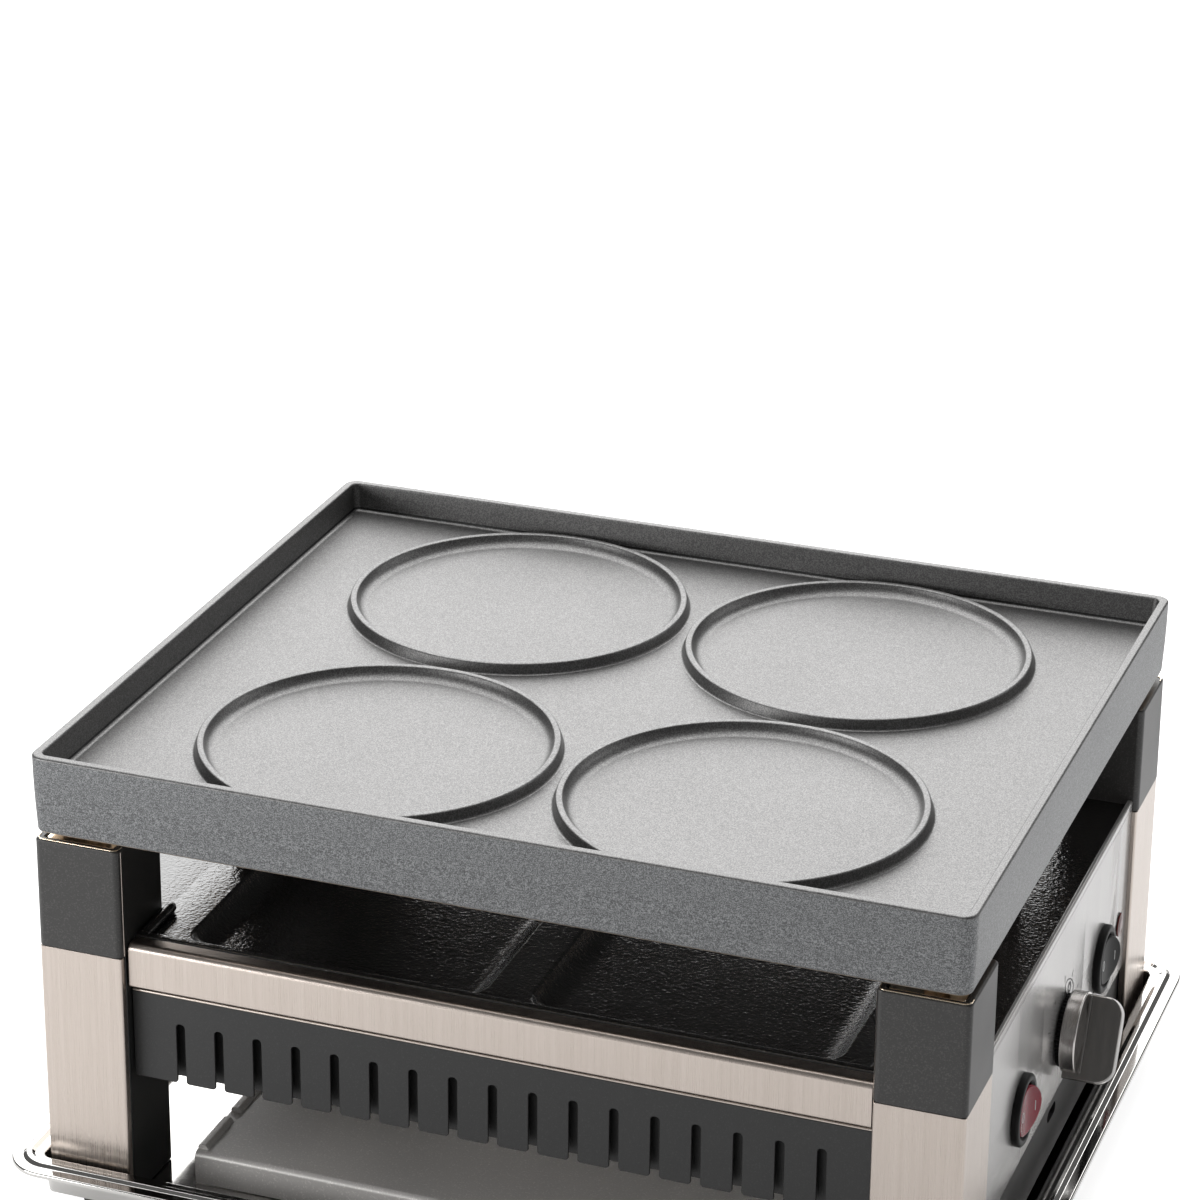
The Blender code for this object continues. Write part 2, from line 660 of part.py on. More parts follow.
def make_crossbar(name, side):
    """A folded steel bar with a round upper edge, from w inward of its face and z."""
    edge, inner, sheet = BAR_EDGE, BAR_EDGE - BAR_SHEET, BAR_SHEET
    outline = [(0, BAR_FOOT)]
    outline += arc(edge, BAR_TOP - edge, edge, 180, 90, SLOT_STEPS)
    outline += [(BAR_DEPTH, BAR_TOP), (BAR_DEPTH, BAR_TOP - sheet)]
    outline += arc(edge, BAR_TOP - edge, inner, 90, 180, SLOT_STEPS)
    outline += [(sheet, BAR_FOOT + sheet), (BAR_RETURN, BAR_FOOT + sheet), (BAR_RETURN, BAR_FOOT)]
    section = [(side * (BAR_FACE - w), z) for w, z in outline]
    reach = POST_IN_X - BAR_END_GAP
    extruded(name, section, "X", -reach, reach, STAINLESS)


def comb_outline():
    """The comb from the front: a strip whose lower edge is open in a row of round-topped slots."""
    slot_top = COMB_TOP - SLOT_TOP_LAND - SLOT_WIDTH / 2
    corner_z = COMB_FOOT + SLOT_CORNER
    half = SLOT_WIDTH / 2
    points = [(-SPAN_X, COMB_TOP)]
    points += arc(-SPAN_X + SLOT_CORNER, corner_z, SLOT_CORNER, 180, 270, SLOT_CORNER_STEPS)
    for index in range(-SLOTS_A_SIDE, SLOTS_A_SIDE + 1):
        x = index * SLOT_PITCH
        points += arc(x - half - SLOT_CORNER, corner_z, SLOT_CORNER, 270, 360, SLOT_CORNER_STEPS)
        points += arc(x, slot_top, half, 180, 0, SLOT_STEPS)
        points += arc(x + half + SLOT_CORNER, corner_z, SLOT_CORNER, 180, 270, SLOT_CORNER_STEPS)
    points += arc(SPAN_X - SLOT_CORNER, corner_z, SLOT_CORNER, 270, 360, SLOT_CORNER_STEPS)
    points.append((SPAN_X, COMB_TOP))
    return points


def make_comb(name, side):
    comb = extruded(name, comb_outline(), "Y", side * COMB_FACE, side * (COMB_FACE - COMB_SHEET),
                    BLACK_LACQUER)
    fold = block(name + "_fold", (-SPAN_X, SPAN_X),
                 sorted((side * (COMB_FACE - COMB_SHEET / 2), side * (COMB_FACE - COMB_FLANGE))),
                 (COMB_TOP - COMB_SHEET, COMB_TOP))
    join(comb, fold)


def make_strip(name, side):
    faces = sorted((side * STRIP_FACE, side * (STRIP_FACE - STRIP_SHEET)))
    block(name, (-SPAN_X, SPAN_X), faces, (COMB_FOOT, STRIP_TOP), BLACK_LACQUER)


# The pan tray

def dish_rings(growth, sheet, top):
    """One dish's upper and lower outline, grown by the sheet for its outer side."""
    rings = []
    for inset, level in ((0, top), (0, PAN_TOP), (DISH_SLOPE, PAN_TOP - DISH_DEPTH - sheet)):
        half_x = DISH_LENGTH_X / 2 - inset + growth
        half_y = DISH_LENGTH_Y / 2 - inset + growth
        rings.append((rounded_outline(half_x, half_y, DISH_CORNER - inset + growth), level))
    return rings


def dishes(name, growth, sheet, top):
    shape = bmesh.new()
    for side_x in (-1, 1):
        for side_y in (-1, 1):
            centre = (
                side_x * (DISH_SPACE_X + DISH_LENGTH_X) / 2,
                side_y * (DISH_SPACE_Y + DISH_LENGTH_Y) / 2,
            )
            rings = [lifted(o, "Z", level, centre) for o, level in dish_rings(growth, sheet, top)]
            add_rings(shape, rings)
    return piece_from(name, shape)


def make_pan_tray():
    """An enamelled sheet with four pressed dishes, notched round the posts."""
    x, y, a, b = PAN_EDGE_X, PAN_EDGE_Y, SPAN_X, SPAN_Y
    outline = [
        (a, -b), (x, -b), (x, b), (a, b), (a, y), (-a, y),
        (-a, b), (-x, b), (-x, -b), (-a, -b), (-a, -y), (a, -y),
    ]
    tray = extruded("pan_tray", outline, "Z", PAN_UNDERSIDE, PAN_TOP, ENAMEL)
    join(tray, dishes("dish_outsides", PAN_SHEET, PAN_SHEET, PAN_TOP - PAN_SHEET / 2))
    bead_top = PAN_TOP + PAN_BEAD_RISE
    for side in (-1, 1):
        edge = PAN_BEAD_EDGE
        bead = [
            (0, PAN_UNDERSIDE), (0, bead_top - edge), (edge, bead_top),
            (PAN_BEAD_WIDTH - edge, bead_top), (PAN_BEAD_WIDTH, bead_top - edge),
            (PAN_BEAD_WIDTH, PAN_UNDERSIDE),
        ]
        section = [(side * (PAN_EDGE_Y - w), z) for w, z in bead]
        join(tray, extruded("pan_bead", section, "X", -SPAN_X, SPAN_X))
    cut(tray, dishes("dish_insides", 0, 0, PAN_TOP + OVERRUN))
    for side in (-1, 1):
        cut(tray, cylinder("lead_hole", TUBE_RADIUS + TUBE_CLEARANCE, "Z",
                           (UPPER_TUBE_RIGHT, side * UPPER_LEAD_Y),
                           PAN_UNDERSIDE - OVERRUN, PAN_TOP + OVERRUN))


# Side panels and the control housing

def side_panel(name, side, foot):
    """A steel side panel with its upper edge folded inward."""
    outline = [
        (PANEL_FACE, foot), (PANEL_FACE, BAR_TOP), (PANEL_FACE - PANEL_FLANGE, BAR_TOP),
        (PANEL_FACE - PANEL_FLANGE, BAR_TOP - PANEL_SHEET), (PANEL_BACK, BAR_TOP - PANEL_SHEET),
        (PANEL_BACK, foot),
    ]
    section = [(side * x, z) for x, z in outline]
    return extruded(name, section, "Y", -SPAN_Y, SPAN_Y, STAINLESS)


def make_panels():
    side_panel("left_panel", -1, BAR_TOP - LEFT_PANEL_HEIGHT)
    panel = side_panel("control_panel", 1, PANEL_FOOT)
    holes = (
        ("main_switch_hole", MAIN_SWITCH_Y, SWITCH_BARREL_RADIUS, TURN_STEPS),
        ("heat_switch_hole", HEAT_SWITCH_Y, SWITCH_BARREL_RADIUS, TURN_STEPS),
        ("shaft_hole", KNOB_Y, SHAFT_RADIUS + BORE_CLEARANCE, SMALL_TURN_STEPS),
        ("lamp_hole", LAMP_Y, LAMP_BARREL_RADIUS, SMALL_TURN_STEPS),
    )
    for name, y, radius, steps in holes:
        cut(panel, cylinder(name, radius + PANEL_HOLE_CLEARANCE, "X", (y, CONTROL_Z),
                            PANEL_BACK - OVERRUN, PANEL_FACE + OVERRUN, steps))


def make_housing():
    """The black box behind the panel: open towards the panel, closed below the panel's edge."""
    housing = block("control_housing", (HOUSING_INNER, HOUSING_FACE), (-SPAN_Y, SPAN_Y),
                    (HOUSING_BOTTOM, HOUSING_TOP), BLACK_LACQUER)
    wall = HOUSING_WALL
    inside_y = (-SPAN_Y + wall, SPAN_Y - wall)
    cut(
        housing,
        block("housing_room", (HOUSING_INNER + wall, HOUSING_FACE + OVERRUN), inside_y,
              (PANEL_FOOT + wall, HOUSING_TOP - wall)),
        block("housing_well", (HOUSING_INNER + wall, HOUSING_FACE - wall), inside_y,
              (HOUSING_BOTTOM + wall, PANEL_FOOT + wall + OVERRUN)),
        cylinder("inlet_hole", INLET_BARREL_RADIUS + TUBE_CLEARANCE, "X", (INLET_Y, INLET_Z),
                 HOUSING_FACE - wall - OVERRUN, HOUSING_FACE + OVERRUN, TURN_STEPS),
    )
    slot = rounded_outline(HOUSING_SLOT_LENGTH / 2, HOUSING_SLOT_HEIGHT / 2, HOUSING_SLOT_HEIGHT / 2)
    slot = [(y + HOUSING_SLOT_Y, z + HOUSING_SLOT_Z) for y, z in slot]
    cut(housing, extruded("housing_slot", slot, "X", HOUSING_FACE - wall - OVERRUN,
                          HOUSING_FACE + OVERRUN))
    hole = TUBE_RADIUS + TUBE_CLEARANCE
    for side in (-1, 1):
        cut(
            housing,
            cylinder("upper_lead_hole", hole, "Z", (UPPER_TUBE_RIGHT, side * UPPER_LEAD_Y),
                     HOUSING_TOP - wall - OVERRUN, HOUSING_TOP + OVERRUN),
            cylinder("lower_lead_hole", hole, "X", (side * LOWER_TUBE_OUTER_Y, LOWER_TUBE_Z),
                     HOUSING_INNER - OVERRUN, HOUSING_INNER + wall + OVERRUN),
        )


# Knob and thermostat. The knob turns about the shaft's line, where its origin is.

def make_thermostat():
    half = THERMOSTAT_SIDE / 2
    front = HOUSING_FACE
    back = front - BUSH_LENGTH
    body = block("thermostat", (back - THERMOSTAT_DEPTH, back), (KNOB_Y - half, KNOB_Y + half),
                 (CONTROL_Z - half, CONTROL_Z + half), CERAMIC)
    bush = turned("thermostat_bush", ((BUSH_RADIUS, back - OVERRUN), (BUSH_RADIUS, front)),
                  "X", (KNOB_Y, CONTROL_Z))
    join(body, bush)
    cut(body, cylinder("thermostat_bore", SHAFT_RADIUS + BORE_CLEARANCE, "X", (KNOB_Y, CONTROL_Z),
                       back - SHAFT_BITE - OVERRUN, front + OVERRUN))


def make_knob():
    """A satin disc with a bar grip across it, round-cornered at its outer end. The grip leans at
    rest, its tail reaches past the disc.
    """
    place = (PANEL_FACE, KNOB_Y, CONTROL_Z)
    face = KNOB_GAP + KNOB_DISC
    knob = turned("knob", (
        (KNOB_COLLAR_RADIUS, FIT_GAP),
        (KNOB_COLLAR_RADIUS, KNOB_GAP),
        (KNOB_RADIUS - KNOB_EDGE, KNOB_GAP),
        (KNOB_RADIUS, KNOB_GAP + KNOB_EDGE),
        (KNOB_RADIUS, face - KNOB_EDGE),
        (KNOB_RADIUS - KNOB_EDGE, face),
    ), "X", (0, 0), SATIN_NICKEL, steps=KNOB_STEPS)
    foot, corner = KNOB_GAP + KNOB_EDGE, KNOB_REACH - GRIP_CORNER
    head = KNOB_RADIUS - KNOB_EDGE
    outline = [(foot, -GRIP_TAIL)]
    outline += arc(corner, GRIP_CORNER - GRIP_TAIL, GRIP_CORNER, -90, 0, CORNER_STEPS)
    outline += arc(corner, head - GRIP_CORNER, GRIP_CORNER, 0, 90, CORNER_STEPS)
    outline.append((foot, head))
    grip = extruded("knob_grip", outline, "Y", -GRIP_THICKNESS / 2, GRIP_THICKNESS / 2)
    grip.rotation_euler.x = -GRIP_TURN
    bore = cylinder("knob_bore", SHAFT_RADIUS + BORE_CLEARANCE, "X", (0, 0), -OVERRUN, BORE_DEPTH)
    join(knob, grip)
    cut(knob, bore)
    shaft = turned("knob_shaft", (
        (SHAFT_RADIUS, -PANEL_SHEET - FIT_GAP - BUSH_LENGTH - SHAFT_BITE),
        (SHAFT_RADIUS, BORE_DEPTH - FIT_GAP),
    ), "X", (0, 0), MIRROR_STEEL, SMALL_TURN_STEPS)
    for piece in (knob, grip, bore, shaft):
        piece.location = place


# Round rocker switches. A rocker tips about the upright line through its switch, its origin.

def make_switch(name, y, finish):
    place = (PANEL_FACE, y, CONTROL_Z)
    rim, edge = FIT_GAP + SWITCH_RIM, SWITCH_EDGE
    body = turned(name, (
        (SWITCH_BARREL_RADIUS, -SWITCH_BACK),
        (SWITCH_BARREL_RADIUS, FIT_GAP),
        (SWITCH_RADIUS, FIT_GAP),
        (SWITCH_RADIUS, rim - edge),
        (SWITCH_RADIUS - edge, rim),
        (POCKET_RADIUS + edge, rim),
        (POCKET_RADIUS, rim - edge),
        (POCKET_RADIUS, POCKET_FLOOR),
    ), "X", (0, 0), BLACK_PLASTIC)
    body.location = place

    foot = lifted(circle_outline(ROCKER_FOOT_RADIUS), "X", -ROCKER_BELOW)
    crown = []
    for a, b in circle_outline(ROCKER_RADIUS):
        crown.append((ROCKER_ABOVE + abs(a) * ROCKER_SLOPE, a, b))
    shape = bmesh.new()
    low = [shape.verts.new(point) for point in foot]
    high = [shape.verts.new(point) for point in crown]
    count = len(low)
    for i in range(count):
        following = (i + 1) % count
        shape.faces.new((low[i], low[following], high[following], high[i]))
    shape.faces.new(low)
    # The crown's two faces meet at the crease, where the circle crosses the upright line.
    first, second = count // 4, 3 * count // 4
    shape.faces.new(high[first:second + 1])
    shape.faces.new(high[second:] + high[:first + 1])
    rocker = piece_from(name.replace("switch", "rocker"), shape, finish)
    rocker.location = place
    rocker.rotation_euler = (0, 0, -ROCKER_TILT)


def make_lamp():
    lens = [(LAMP_RADIUS * across, PANEL_FACE + FIT_GAP + LAMP_DOME * up)
            for across, up in LENS_PROFILE_SHARES]
    turned("lamp_lens", lens, "X", (LAMP_Y, CONTROL_Z), RED_LENS, SMALL_RIM_STEPS)
    barrel = ((LAMP_BARREL_RADIUS, PANEL_FACE - LAMP_BACK), (LAMP_BARREL_RADIUS, PANEL_FACE))
    turned("lamp_body", barrel, "X", (LAMP_Y, CONTROL_Z), BLACK_PLASTIC, SMALL_TURN_STEPS)


def make_terminals():
    """The terminal block on the housing's floor, and the inlet for the mains lead."""
    low_x = HOUSING_INNER + HOUSING_WALL + FIT_GAP
    low_z = HOUSING_BOTTOM + HOUSING_WALL + FIT_GAP
    half = TERMINAL_LENGTH / 2
    terminals = block("terminal_block", (low_x, low_x + TERMINAL_DEPTH),
                      (TERMINAL_Y - half, TERMINAL_Y + half), (low_z, low_z + TERMINAL_HEIGHT),
                      CERAMIC)
    for index in range(TERMINAL_BORES):
        y = TERMINAL_Y + (index - (TERMINAL_BORES - 1) / 2) * TERMINAL_LENGTH / TERMINAL_BORES
        cut(terminals, cylinder("terminal_bore", TERMINAL_BORE_RADIUS, "X",
                                (y, low_z + TERMINAL_HEIGHT / 2), low_x + HOUSING_WALL,
                                low_x + TERMINAL_DEPTH + OVERRUN))
    face = HOUSING_FACE + FIT_GAP
    turned("cord_inlet", (
        (INLET_BARREL_RADIUS, HOUSING_FACE - HOUSING_WALL - INLET_BACK),
        (INLET_BARREL_RADIUS, face),
        (INLET_RADIUS, face),
        (INLET_RADIUS - INLET_FLANGE / 2, face + INLET_FLANGE),
        (INLET_BORE_RADIUS, face + INLET_FLANGE),
        (INLET_BORE_RADIUS, HOUSING_FACE - HOUSING_WALL - INLET_BACK),
    ), "X", (INLET_Y, INLET_Z), BLACK_PLASTIC, SMALL_RIM_STEPS, looped=True)


# Heating elements and what carries them

def make_upper_heater():
    """Runs under the griddle plate. Both leads turn down through the pan tray into the housing."""
    right, left = UPPER_TUBE_RIGHT, -UPPER_TUBE_LEFT
    half = [
        (right, UPPER_LEAD_Y, UPPER_LEAD_FOOT),
        (right, UPPER_LEAD_Y, UPPER_TUBE_Z),
        (right, UPPER_TUBE_OUTER_Y, UPPER_TUBE_Z),
        (left, UPPER_TUBE_OUTER_Y, UPPER_TUBE_Z),
        (left, UPPER_TUBE_INNER_Y, UPPER_TUBE_Z),
        (UPPER_TUBE_RETURN_X, UPPER_TUBE_INNER_Y, UPPER_TUBE_Z),
    ]
    corners = half + [(x, -y, z) for x, y, z in reversed(half)]
    tube("upper_heater", bent_route(corners, TUBE_BEND), TUBE_RADIUS, HEATER_STEEL)

    # A sheet bracket that stands on the pan tray, with an open saddle for each inner run
    reach = UPPER_TUBE_INNER_Y + SUPPORT_MARGIN
    saddle = TUBE_RADIUS + TUBE_CLEARANCE
    foot = PAN_TOP + FIT_GAP
    outline = [(-reach, foot), (reach, foot), (reach, UPPER_TUBE_Z)]
    for y in (UPPER_TUBE_INNER_Y, -UPPER_TUBE_INNER_Y):
        outline += arc(y, UPPER_TUBE_Z, saddle, 0, -180, 2 * SLOT_STEPS)
    outline.append((-reach, UPPER_TUBE_Z))
    support = extruded("heater_support", outline, "X", -SUPPORT_X, -SUPPORT_X + SUPPORT_SHEET,
                       HEATER_STEEL)
    join(support, block("support_foot", (-SUPPORT_X - SUPPORT_FOOT, -SUPPORT_X + SUPPORT_SHEET / 2),
                        (-reach, reach), (foot, foot + SUPPORT_SHEET)))


def make_reflector():
    """A sheet over the lower element, folded down along the front and rear strips."""
    y = STRIP_FACE - STRIP_SHEET - FIT_GAP
    sheet, top = REFLECTOR_SHEET, REFLECTOR_TOP
    low = top - REFLECTOR_LIP
    outline = [
        (y, low), (y, top), (-y, top), (-y, low),
        (-y + sheet, low), (-y + sheet, top - sheet), (y - sheet, top - sheet), (y - sheet, low),
    ]
    extruded("reflector", outline, "X", -SPAN_X, BAY_RIGHT, STAINLESS)


def make_lower_heater():
    """Runs under the reflector. Both leads pass straight into the housing."""
    right = HOUSING_INNER + HOUSING_WALL + LOWER_LEAD
    half = [
        (right, LOWER_TUBE_OUTER_Y, LOWER_TUBE_Z),
        (-LOWER_TUBE_LEFT, LOWER_TUBE_OUTER_Y, LOWER_TUBE_Z),
        (-LOWER_TUBE_LEFT, LOWER_TUBE_INNER_Y, LOWER_TUBE_Z),
        (LOWER_TUBE_RETURN_X, LOWER_TUBE_INNER_Y, LOWER_TUBE_Z),
    ]
    corners = half + [(x, -y, z) for x, y, z in reversed(half)]
    tube("lower_heater", bent_route(corners, TUBE_BEND), TUBE_RADIUS, HEATER_STEEL)

    reach = LOWER_TUBE_INNER_Y + SUPPORT_MARGIN
    low = LOWER_TUBE_Z - SUPPORT_MARGIN
    high = REFLECTOR_TOP - REFLECTOR_SHEET - FIT_GAP
    outline = [(-reach, low), (reach, low), (reach, high), (-reach, high)]
    clip = extruded("lower_heater_clip", outline, "X", -CLIP_X, -CLIP_X + CLIP_SHEET, HEATER_STEEL)
    for side in (-1, 1):
        cut(clip, cylinder("clip_hole", TUBE_RADIUS + TUBE_CLEARANCE, "X",
                           (side * LOWER_TUBE_INNER_Y, LOWER_TUBE_Z),
                           -CLIP_X - OVERRUN, -CLIP_X + CLIP_SHEET + OVERRUN))


# Base tray and the plate over it

def make_base_tray():
    """A polished pressed tray with a beaded flange. Insets are measured from the flange's edge."""
    sheet, bead = TRAY_SHEET, TRAY_BEAD_HEIGHT
    flange, bend = min(TRAY_FLANGE_X, TRAY_FLANGE_Y), sheet * TRAY_BEND_SHARE
    profile = (
        (flange + sheet, TRAY_UNDERSIDE),
        (flange - sheet, TRAY_RIM - sheet),
        (sheet, TRAY_RIM - sheet),
        (sheet, TRAY_RIM - TRAY_LIP),
        (0, TRAY_RIM - TRAY_LIP),
        (0, TRAY_RIM - sheet / 2),
        (sheet / 2, TRAY_RIM),
        *((flange * across, TRAY_RIM + bead * up) for across, up in TRAY_BEAD_SHARES),
        (flange - bend, TRAY_RIM),
        (flange, TRAY_RIM - bend),
        (flange + sheet, TRAY_FLOOR),
    )
    rings = []
    for inset, level in profile:
        corner = max(TRAY_CORNER - inset, TRAY_SHEET)
        outline = rounded_outline(TRAY_EDGE_X - inset, TRAY_EDGE_Y - inset, corner)
        rings.append(lifted(outline, "Z", level))
    tray = lofted("base_tray", rings, MIRROR_STEEL, smooth=True)
    for corner, (side_x, side_y) in CORNERS.items():
        cut(tray, cylinder(corner + "_tray_hole", SCREW_HOLE_RADIUS, "Z",
                           (side_x * POST_MIDDLE_X, side_y * POST_MIDDLE_Y),
                           TRAY_UNDERSIDE - OVERRUN, TRAY_FLOOR + OVERRUN))


def make_deck():
    """A grey sheet over the tray's floor, folded down at its front and rear edges."""
    y, sheet, low = DECK_REACH_Y, DECK_SHEET, TRAY_FLOOR + FIT_GAP
    outline = [
        (y, low), (y, DECK_TOP), (-y, DECK_TOP), (-y, low), (-y + sheet, low),
        (-y + sheet, DECK_TOP - sheet), (y - sheet, DECK_TOP - sheet), (y - sheet, low),
    ]
    extruded("deck_plate", outline, "X", -DECK_LEFT, BAY_RIGHT, GREY_SHEET)


def clear_scene():
    for piece in list(bpy.data.objects):
        bpy.data.objects.remove(piece, do_unlink=True)


def main():
    clear_scene()
    make_griddle_plate()
    for corner, (side_x, side_y) in CORNERS.items():
        make_post(corner, side_x, side_y)
        make_cap(corner, side_x, side_y)
        make_foot(corner, side_x, side_y)
    for name, side in (("front", -1), ("rear", 1)):
        make_crossbar(name + "_crossbar", side)
        make_comb(name + "_comb", side)
        make_strip(name + "_strip", side)
    make_pan_tray()
    make_panels()
    make_housing()
    make_thermostat()
    make_knob()
    make_switch("main_switch", MAIN_SWITCH_Y, BLACK_PLASTIC)
    make_switch("heat_switch", HEAT_SWITCH_Y, RED_LENS)
    make_lamp()
    make_terminals()
    make_upper_heater()
    make_reflector()
    make_lower_heater()
    make_base_tray()
    make_deck()

    frame = bpy.data.objects.new("grill_frame", None)
    bpy.context.scene.collection.objects.link(frame)
    frame.location = (-FRAME_SHIFT, 0, 0)
    for piece in bpy.data.objects:
        if piece != frame:
            piece.parent = frame


main()
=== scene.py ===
"""Looks of the electric table grill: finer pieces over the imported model, procedural finishes,
studio light and the camera.

Shapes are given in millimetres in the grill's own frame: x and y from the middle of the griddle
plate, z from the table, the front towards -y and the controls towards +x.
"""

import math

import bmesh
import bpy
import numpy as np
from mathutils import Matrix, Vector


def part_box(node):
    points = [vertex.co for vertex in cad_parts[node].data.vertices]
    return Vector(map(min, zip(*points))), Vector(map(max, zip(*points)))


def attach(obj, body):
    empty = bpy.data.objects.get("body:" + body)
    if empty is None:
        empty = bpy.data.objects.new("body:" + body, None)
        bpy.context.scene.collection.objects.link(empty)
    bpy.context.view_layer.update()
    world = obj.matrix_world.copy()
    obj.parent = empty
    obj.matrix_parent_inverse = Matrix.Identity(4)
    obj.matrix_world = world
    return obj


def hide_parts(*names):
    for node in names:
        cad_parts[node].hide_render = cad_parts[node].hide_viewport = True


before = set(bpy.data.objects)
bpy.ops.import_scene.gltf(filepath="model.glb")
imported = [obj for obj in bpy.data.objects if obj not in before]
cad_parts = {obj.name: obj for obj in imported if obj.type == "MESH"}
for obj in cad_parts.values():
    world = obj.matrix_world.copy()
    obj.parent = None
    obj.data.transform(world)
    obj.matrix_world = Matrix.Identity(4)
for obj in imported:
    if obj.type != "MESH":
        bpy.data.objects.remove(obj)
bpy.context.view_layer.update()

MM = 0.001
plate_low, plate_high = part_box("griddle_plate")
SHIFT = np.array(((plate_low[0] + plate_high[0]) / 2, 0.0, 0.0))
BASE, GRIDDLE, KNOB = "grill_base", "griddle", "control_knob"

# Levels over the table and planes from the middle, as in the solids
PLATE_TOP, PLATE_FLOOR, PLATE_UNDERSIDE, SKIRT_FOOT = 185.0, 173.6, 167.6, 155.5
PLATE_HALF_X, PLATE_HALF_Y = 170.0, 141.65
RING_X, RING_Y, RING_RADIUS = 68.0, 68.9, 63.3
POST_FOOT, POST_TOP, CAP_FOOT, CAP_TOP, SEAT_TOP = 11.3, 110.2, 110.5, 152.4, 151.9
POST_OUT_X, POST_OUT_Y, POST_X, POST_Y = 169.5, 139.45, 153.5, 122.45
POST_SIDE_X, POST_SIDE_Y = 32.0, 34.0
SPAN_X, SPAN_Y = 137.2, 105.15
BAR_FACE, BAR_TOP, BAR_FOOT = 136.05, 115.0, 98.0
COMB_FACE, COMB_TOP, COMB_FOOT, COMB_SHEET = 132.55, 95.0, 60.7, 1.0
SLOT_COUNT, SLOT_PITCH, SLOT_HALF, SLOT_TOP = 17, 14.85, 1.65, 84.5
SHEET = 1.2
PAN_TOP, PAN_EDGE_X, PAN_EDGE_Y = 113.0, 165.3, 128.75
DISH_X, DISH_Y, DISH_HALF, DISH_DEPTH = 64.5, 67.5, 56.5, 5.6
PANEL_FACE, PANEL_FLANGE, PANEL_FOOT = 167.6, 2.0, 45.0
CONTROL_Z, KNOB_Y, LAMP_Y = 68.0, 6.0, 93.5
MAIN_SWITCH_Y, HEAT_SWITCH_Y = 64.2, -55.0
TRAY_FLOOR, TRAY_UNDERSIDE, TRAY_RIM = 11.0, 10.0, 25.0
TRAY_EDGE_X, TRAY_EDGE_Y, TRAY_CORNER = 184.0, 153.45, 16.0
DECK_LEFT, DECK_HALF_Y, DECK_TOP, DECK_FOOT = -122.0, 118.0, 24.0, 11.3
INLET_Y, INLET_Z, INLET_FACE, INLET_BACK = 85.0, 30.0, 166.4, 160.5
ROCKER_RADIUS, MARK_LIFT = 9.4, 0.05
ELEMENT_RADIUS, ELEMENT_BEND = 3.5, 12.0
CORNERS = {
    "front_left": (-1, -1),
    "front_right": (1, -1),
    "rear_left": (-1, 1),
    "rear_right": (1, 1),
}

# How the controls stand when they are off
ROCKER_TIP, KNOB_LEAN = math.radians(-9), math.radians(-29)


# Arrays of points

def rounded_path(corners, radii, steps=6, closed=False):
    """The polyline through the corners, with each corner replaced by an arc of its radius that
    touches both sides: centre + radius * (cos, sin) over the turn from one side to the other.
    """
    corners = np.asarray(corners, float)
    radii = np.broadcast_to(radii, len(corners))
    pieces = []
    for index, (corner, radius) in enumerate(zip(corners, radii)):
        end = not closed and index in (0, len(corners) - 1)
        if end or radius <= 0:
            pieces.append(corner[None])
            continue
        before = corners[index - 1] - corner
        after = corners[(index + 1) % len(corners)] - corner
        before /= np.linalg.norm(before)
        after /= np.linalg.norm(after)
        half = math.acos(np.clip(before @ after, -1, 1)) / 2
        middle = (before + after) / np.linalg.norm(before + after)
        centre = corner + middle * radius / math.sin(half)
        start = corner + before * radius / math.tan(half) - centre
        finish = corner + after * radius / math.tan(half) - centre
        turn = math.pi - 2 * half
        share = np.linspace(0, 1, steps + 1)[:, None]
        arc = np.sin((1 - share) * turn) * start + np.sin(share * turn) * finish
        pieces.append(centre + arc / math.sin(turn))
    return np.concatenate(pieces)


def rounded_rings(half_x, half_y, corner, steps=6):
    """Rounded rectangles, one row each, counter-clockwise: the corner's centre plus its radius
    times (cos, sin) over each quarter turn. The three sizes may be arrays of one length.
    """
    half_x, half_y, corner = np.broadcast_arrays(half_x, half_y, corner)
    quarter = np.arange(4).repeat(steps + 1)
    turn = (quarter + np.tile(np.linspace(0, 1, steps + 1), 4)) * math.pi / 2
    side_x = np.array((1, -1, -1, 1))[quarter]
    side_y = np.array((1, 1, -1, -1))[quarter]
    x = side_x * (half_x - corner)[..., None] + corner[..., None] * np.cos(turn)
    y = side_y * (half_y - corner)[..., None] + corner[..., None] * np.sin(turn)
    return np.stack([x, y], axis=-1)


def square_ring(ring, low, high, steps=6):
    """For a rounded ring, the points of the surrounding rectangle that lie straight out from it.
    The middle point of each quarter goes to the rectangle's corner. Steps is even.
    """
    index = np.arange(len(ring)) % (steps + 1)
    quarter = np.arange(len(ring)) // (steps + 1)
    first_on_x = quarter % 2 == 0
    on_x = np.where(first_on_x, index <= steps // 2, index >= steps // 2)
    on_y = np.where(first_on_x, index >= steps // 2, index <= steps // 2)
    side = np.where(ring > ring.mean(axis=0), high, low)
    return np.where(np.stack([on_x, on_y], axis=-1), side, ring)


def standing(outline, axis, level):
    """The outline's pairs in space, on the plane where the axis has this level."""
    level = np.broadcast_to(level, outline.shape[:-1])
    a, b = outline[..., 0], outline[..., 1]
    order = {"X": (level, a, b), "Y": (a, level, b), "Z": (a, b, level)}[axis]
    return np.stack(order, axis=-1)


def behind_face(section, face, side):
    """The section's depths behind a face, as places on that side of the grill."""
    return np.stack([side * (face - section[:, 0]), section[:, 1]], -1)


def all_round(steps, closed=False):
    """The angles of a full turn, with the first one again at the end where closed."""
    return np.arange(steps + closed) * 2 * math.pi / steps


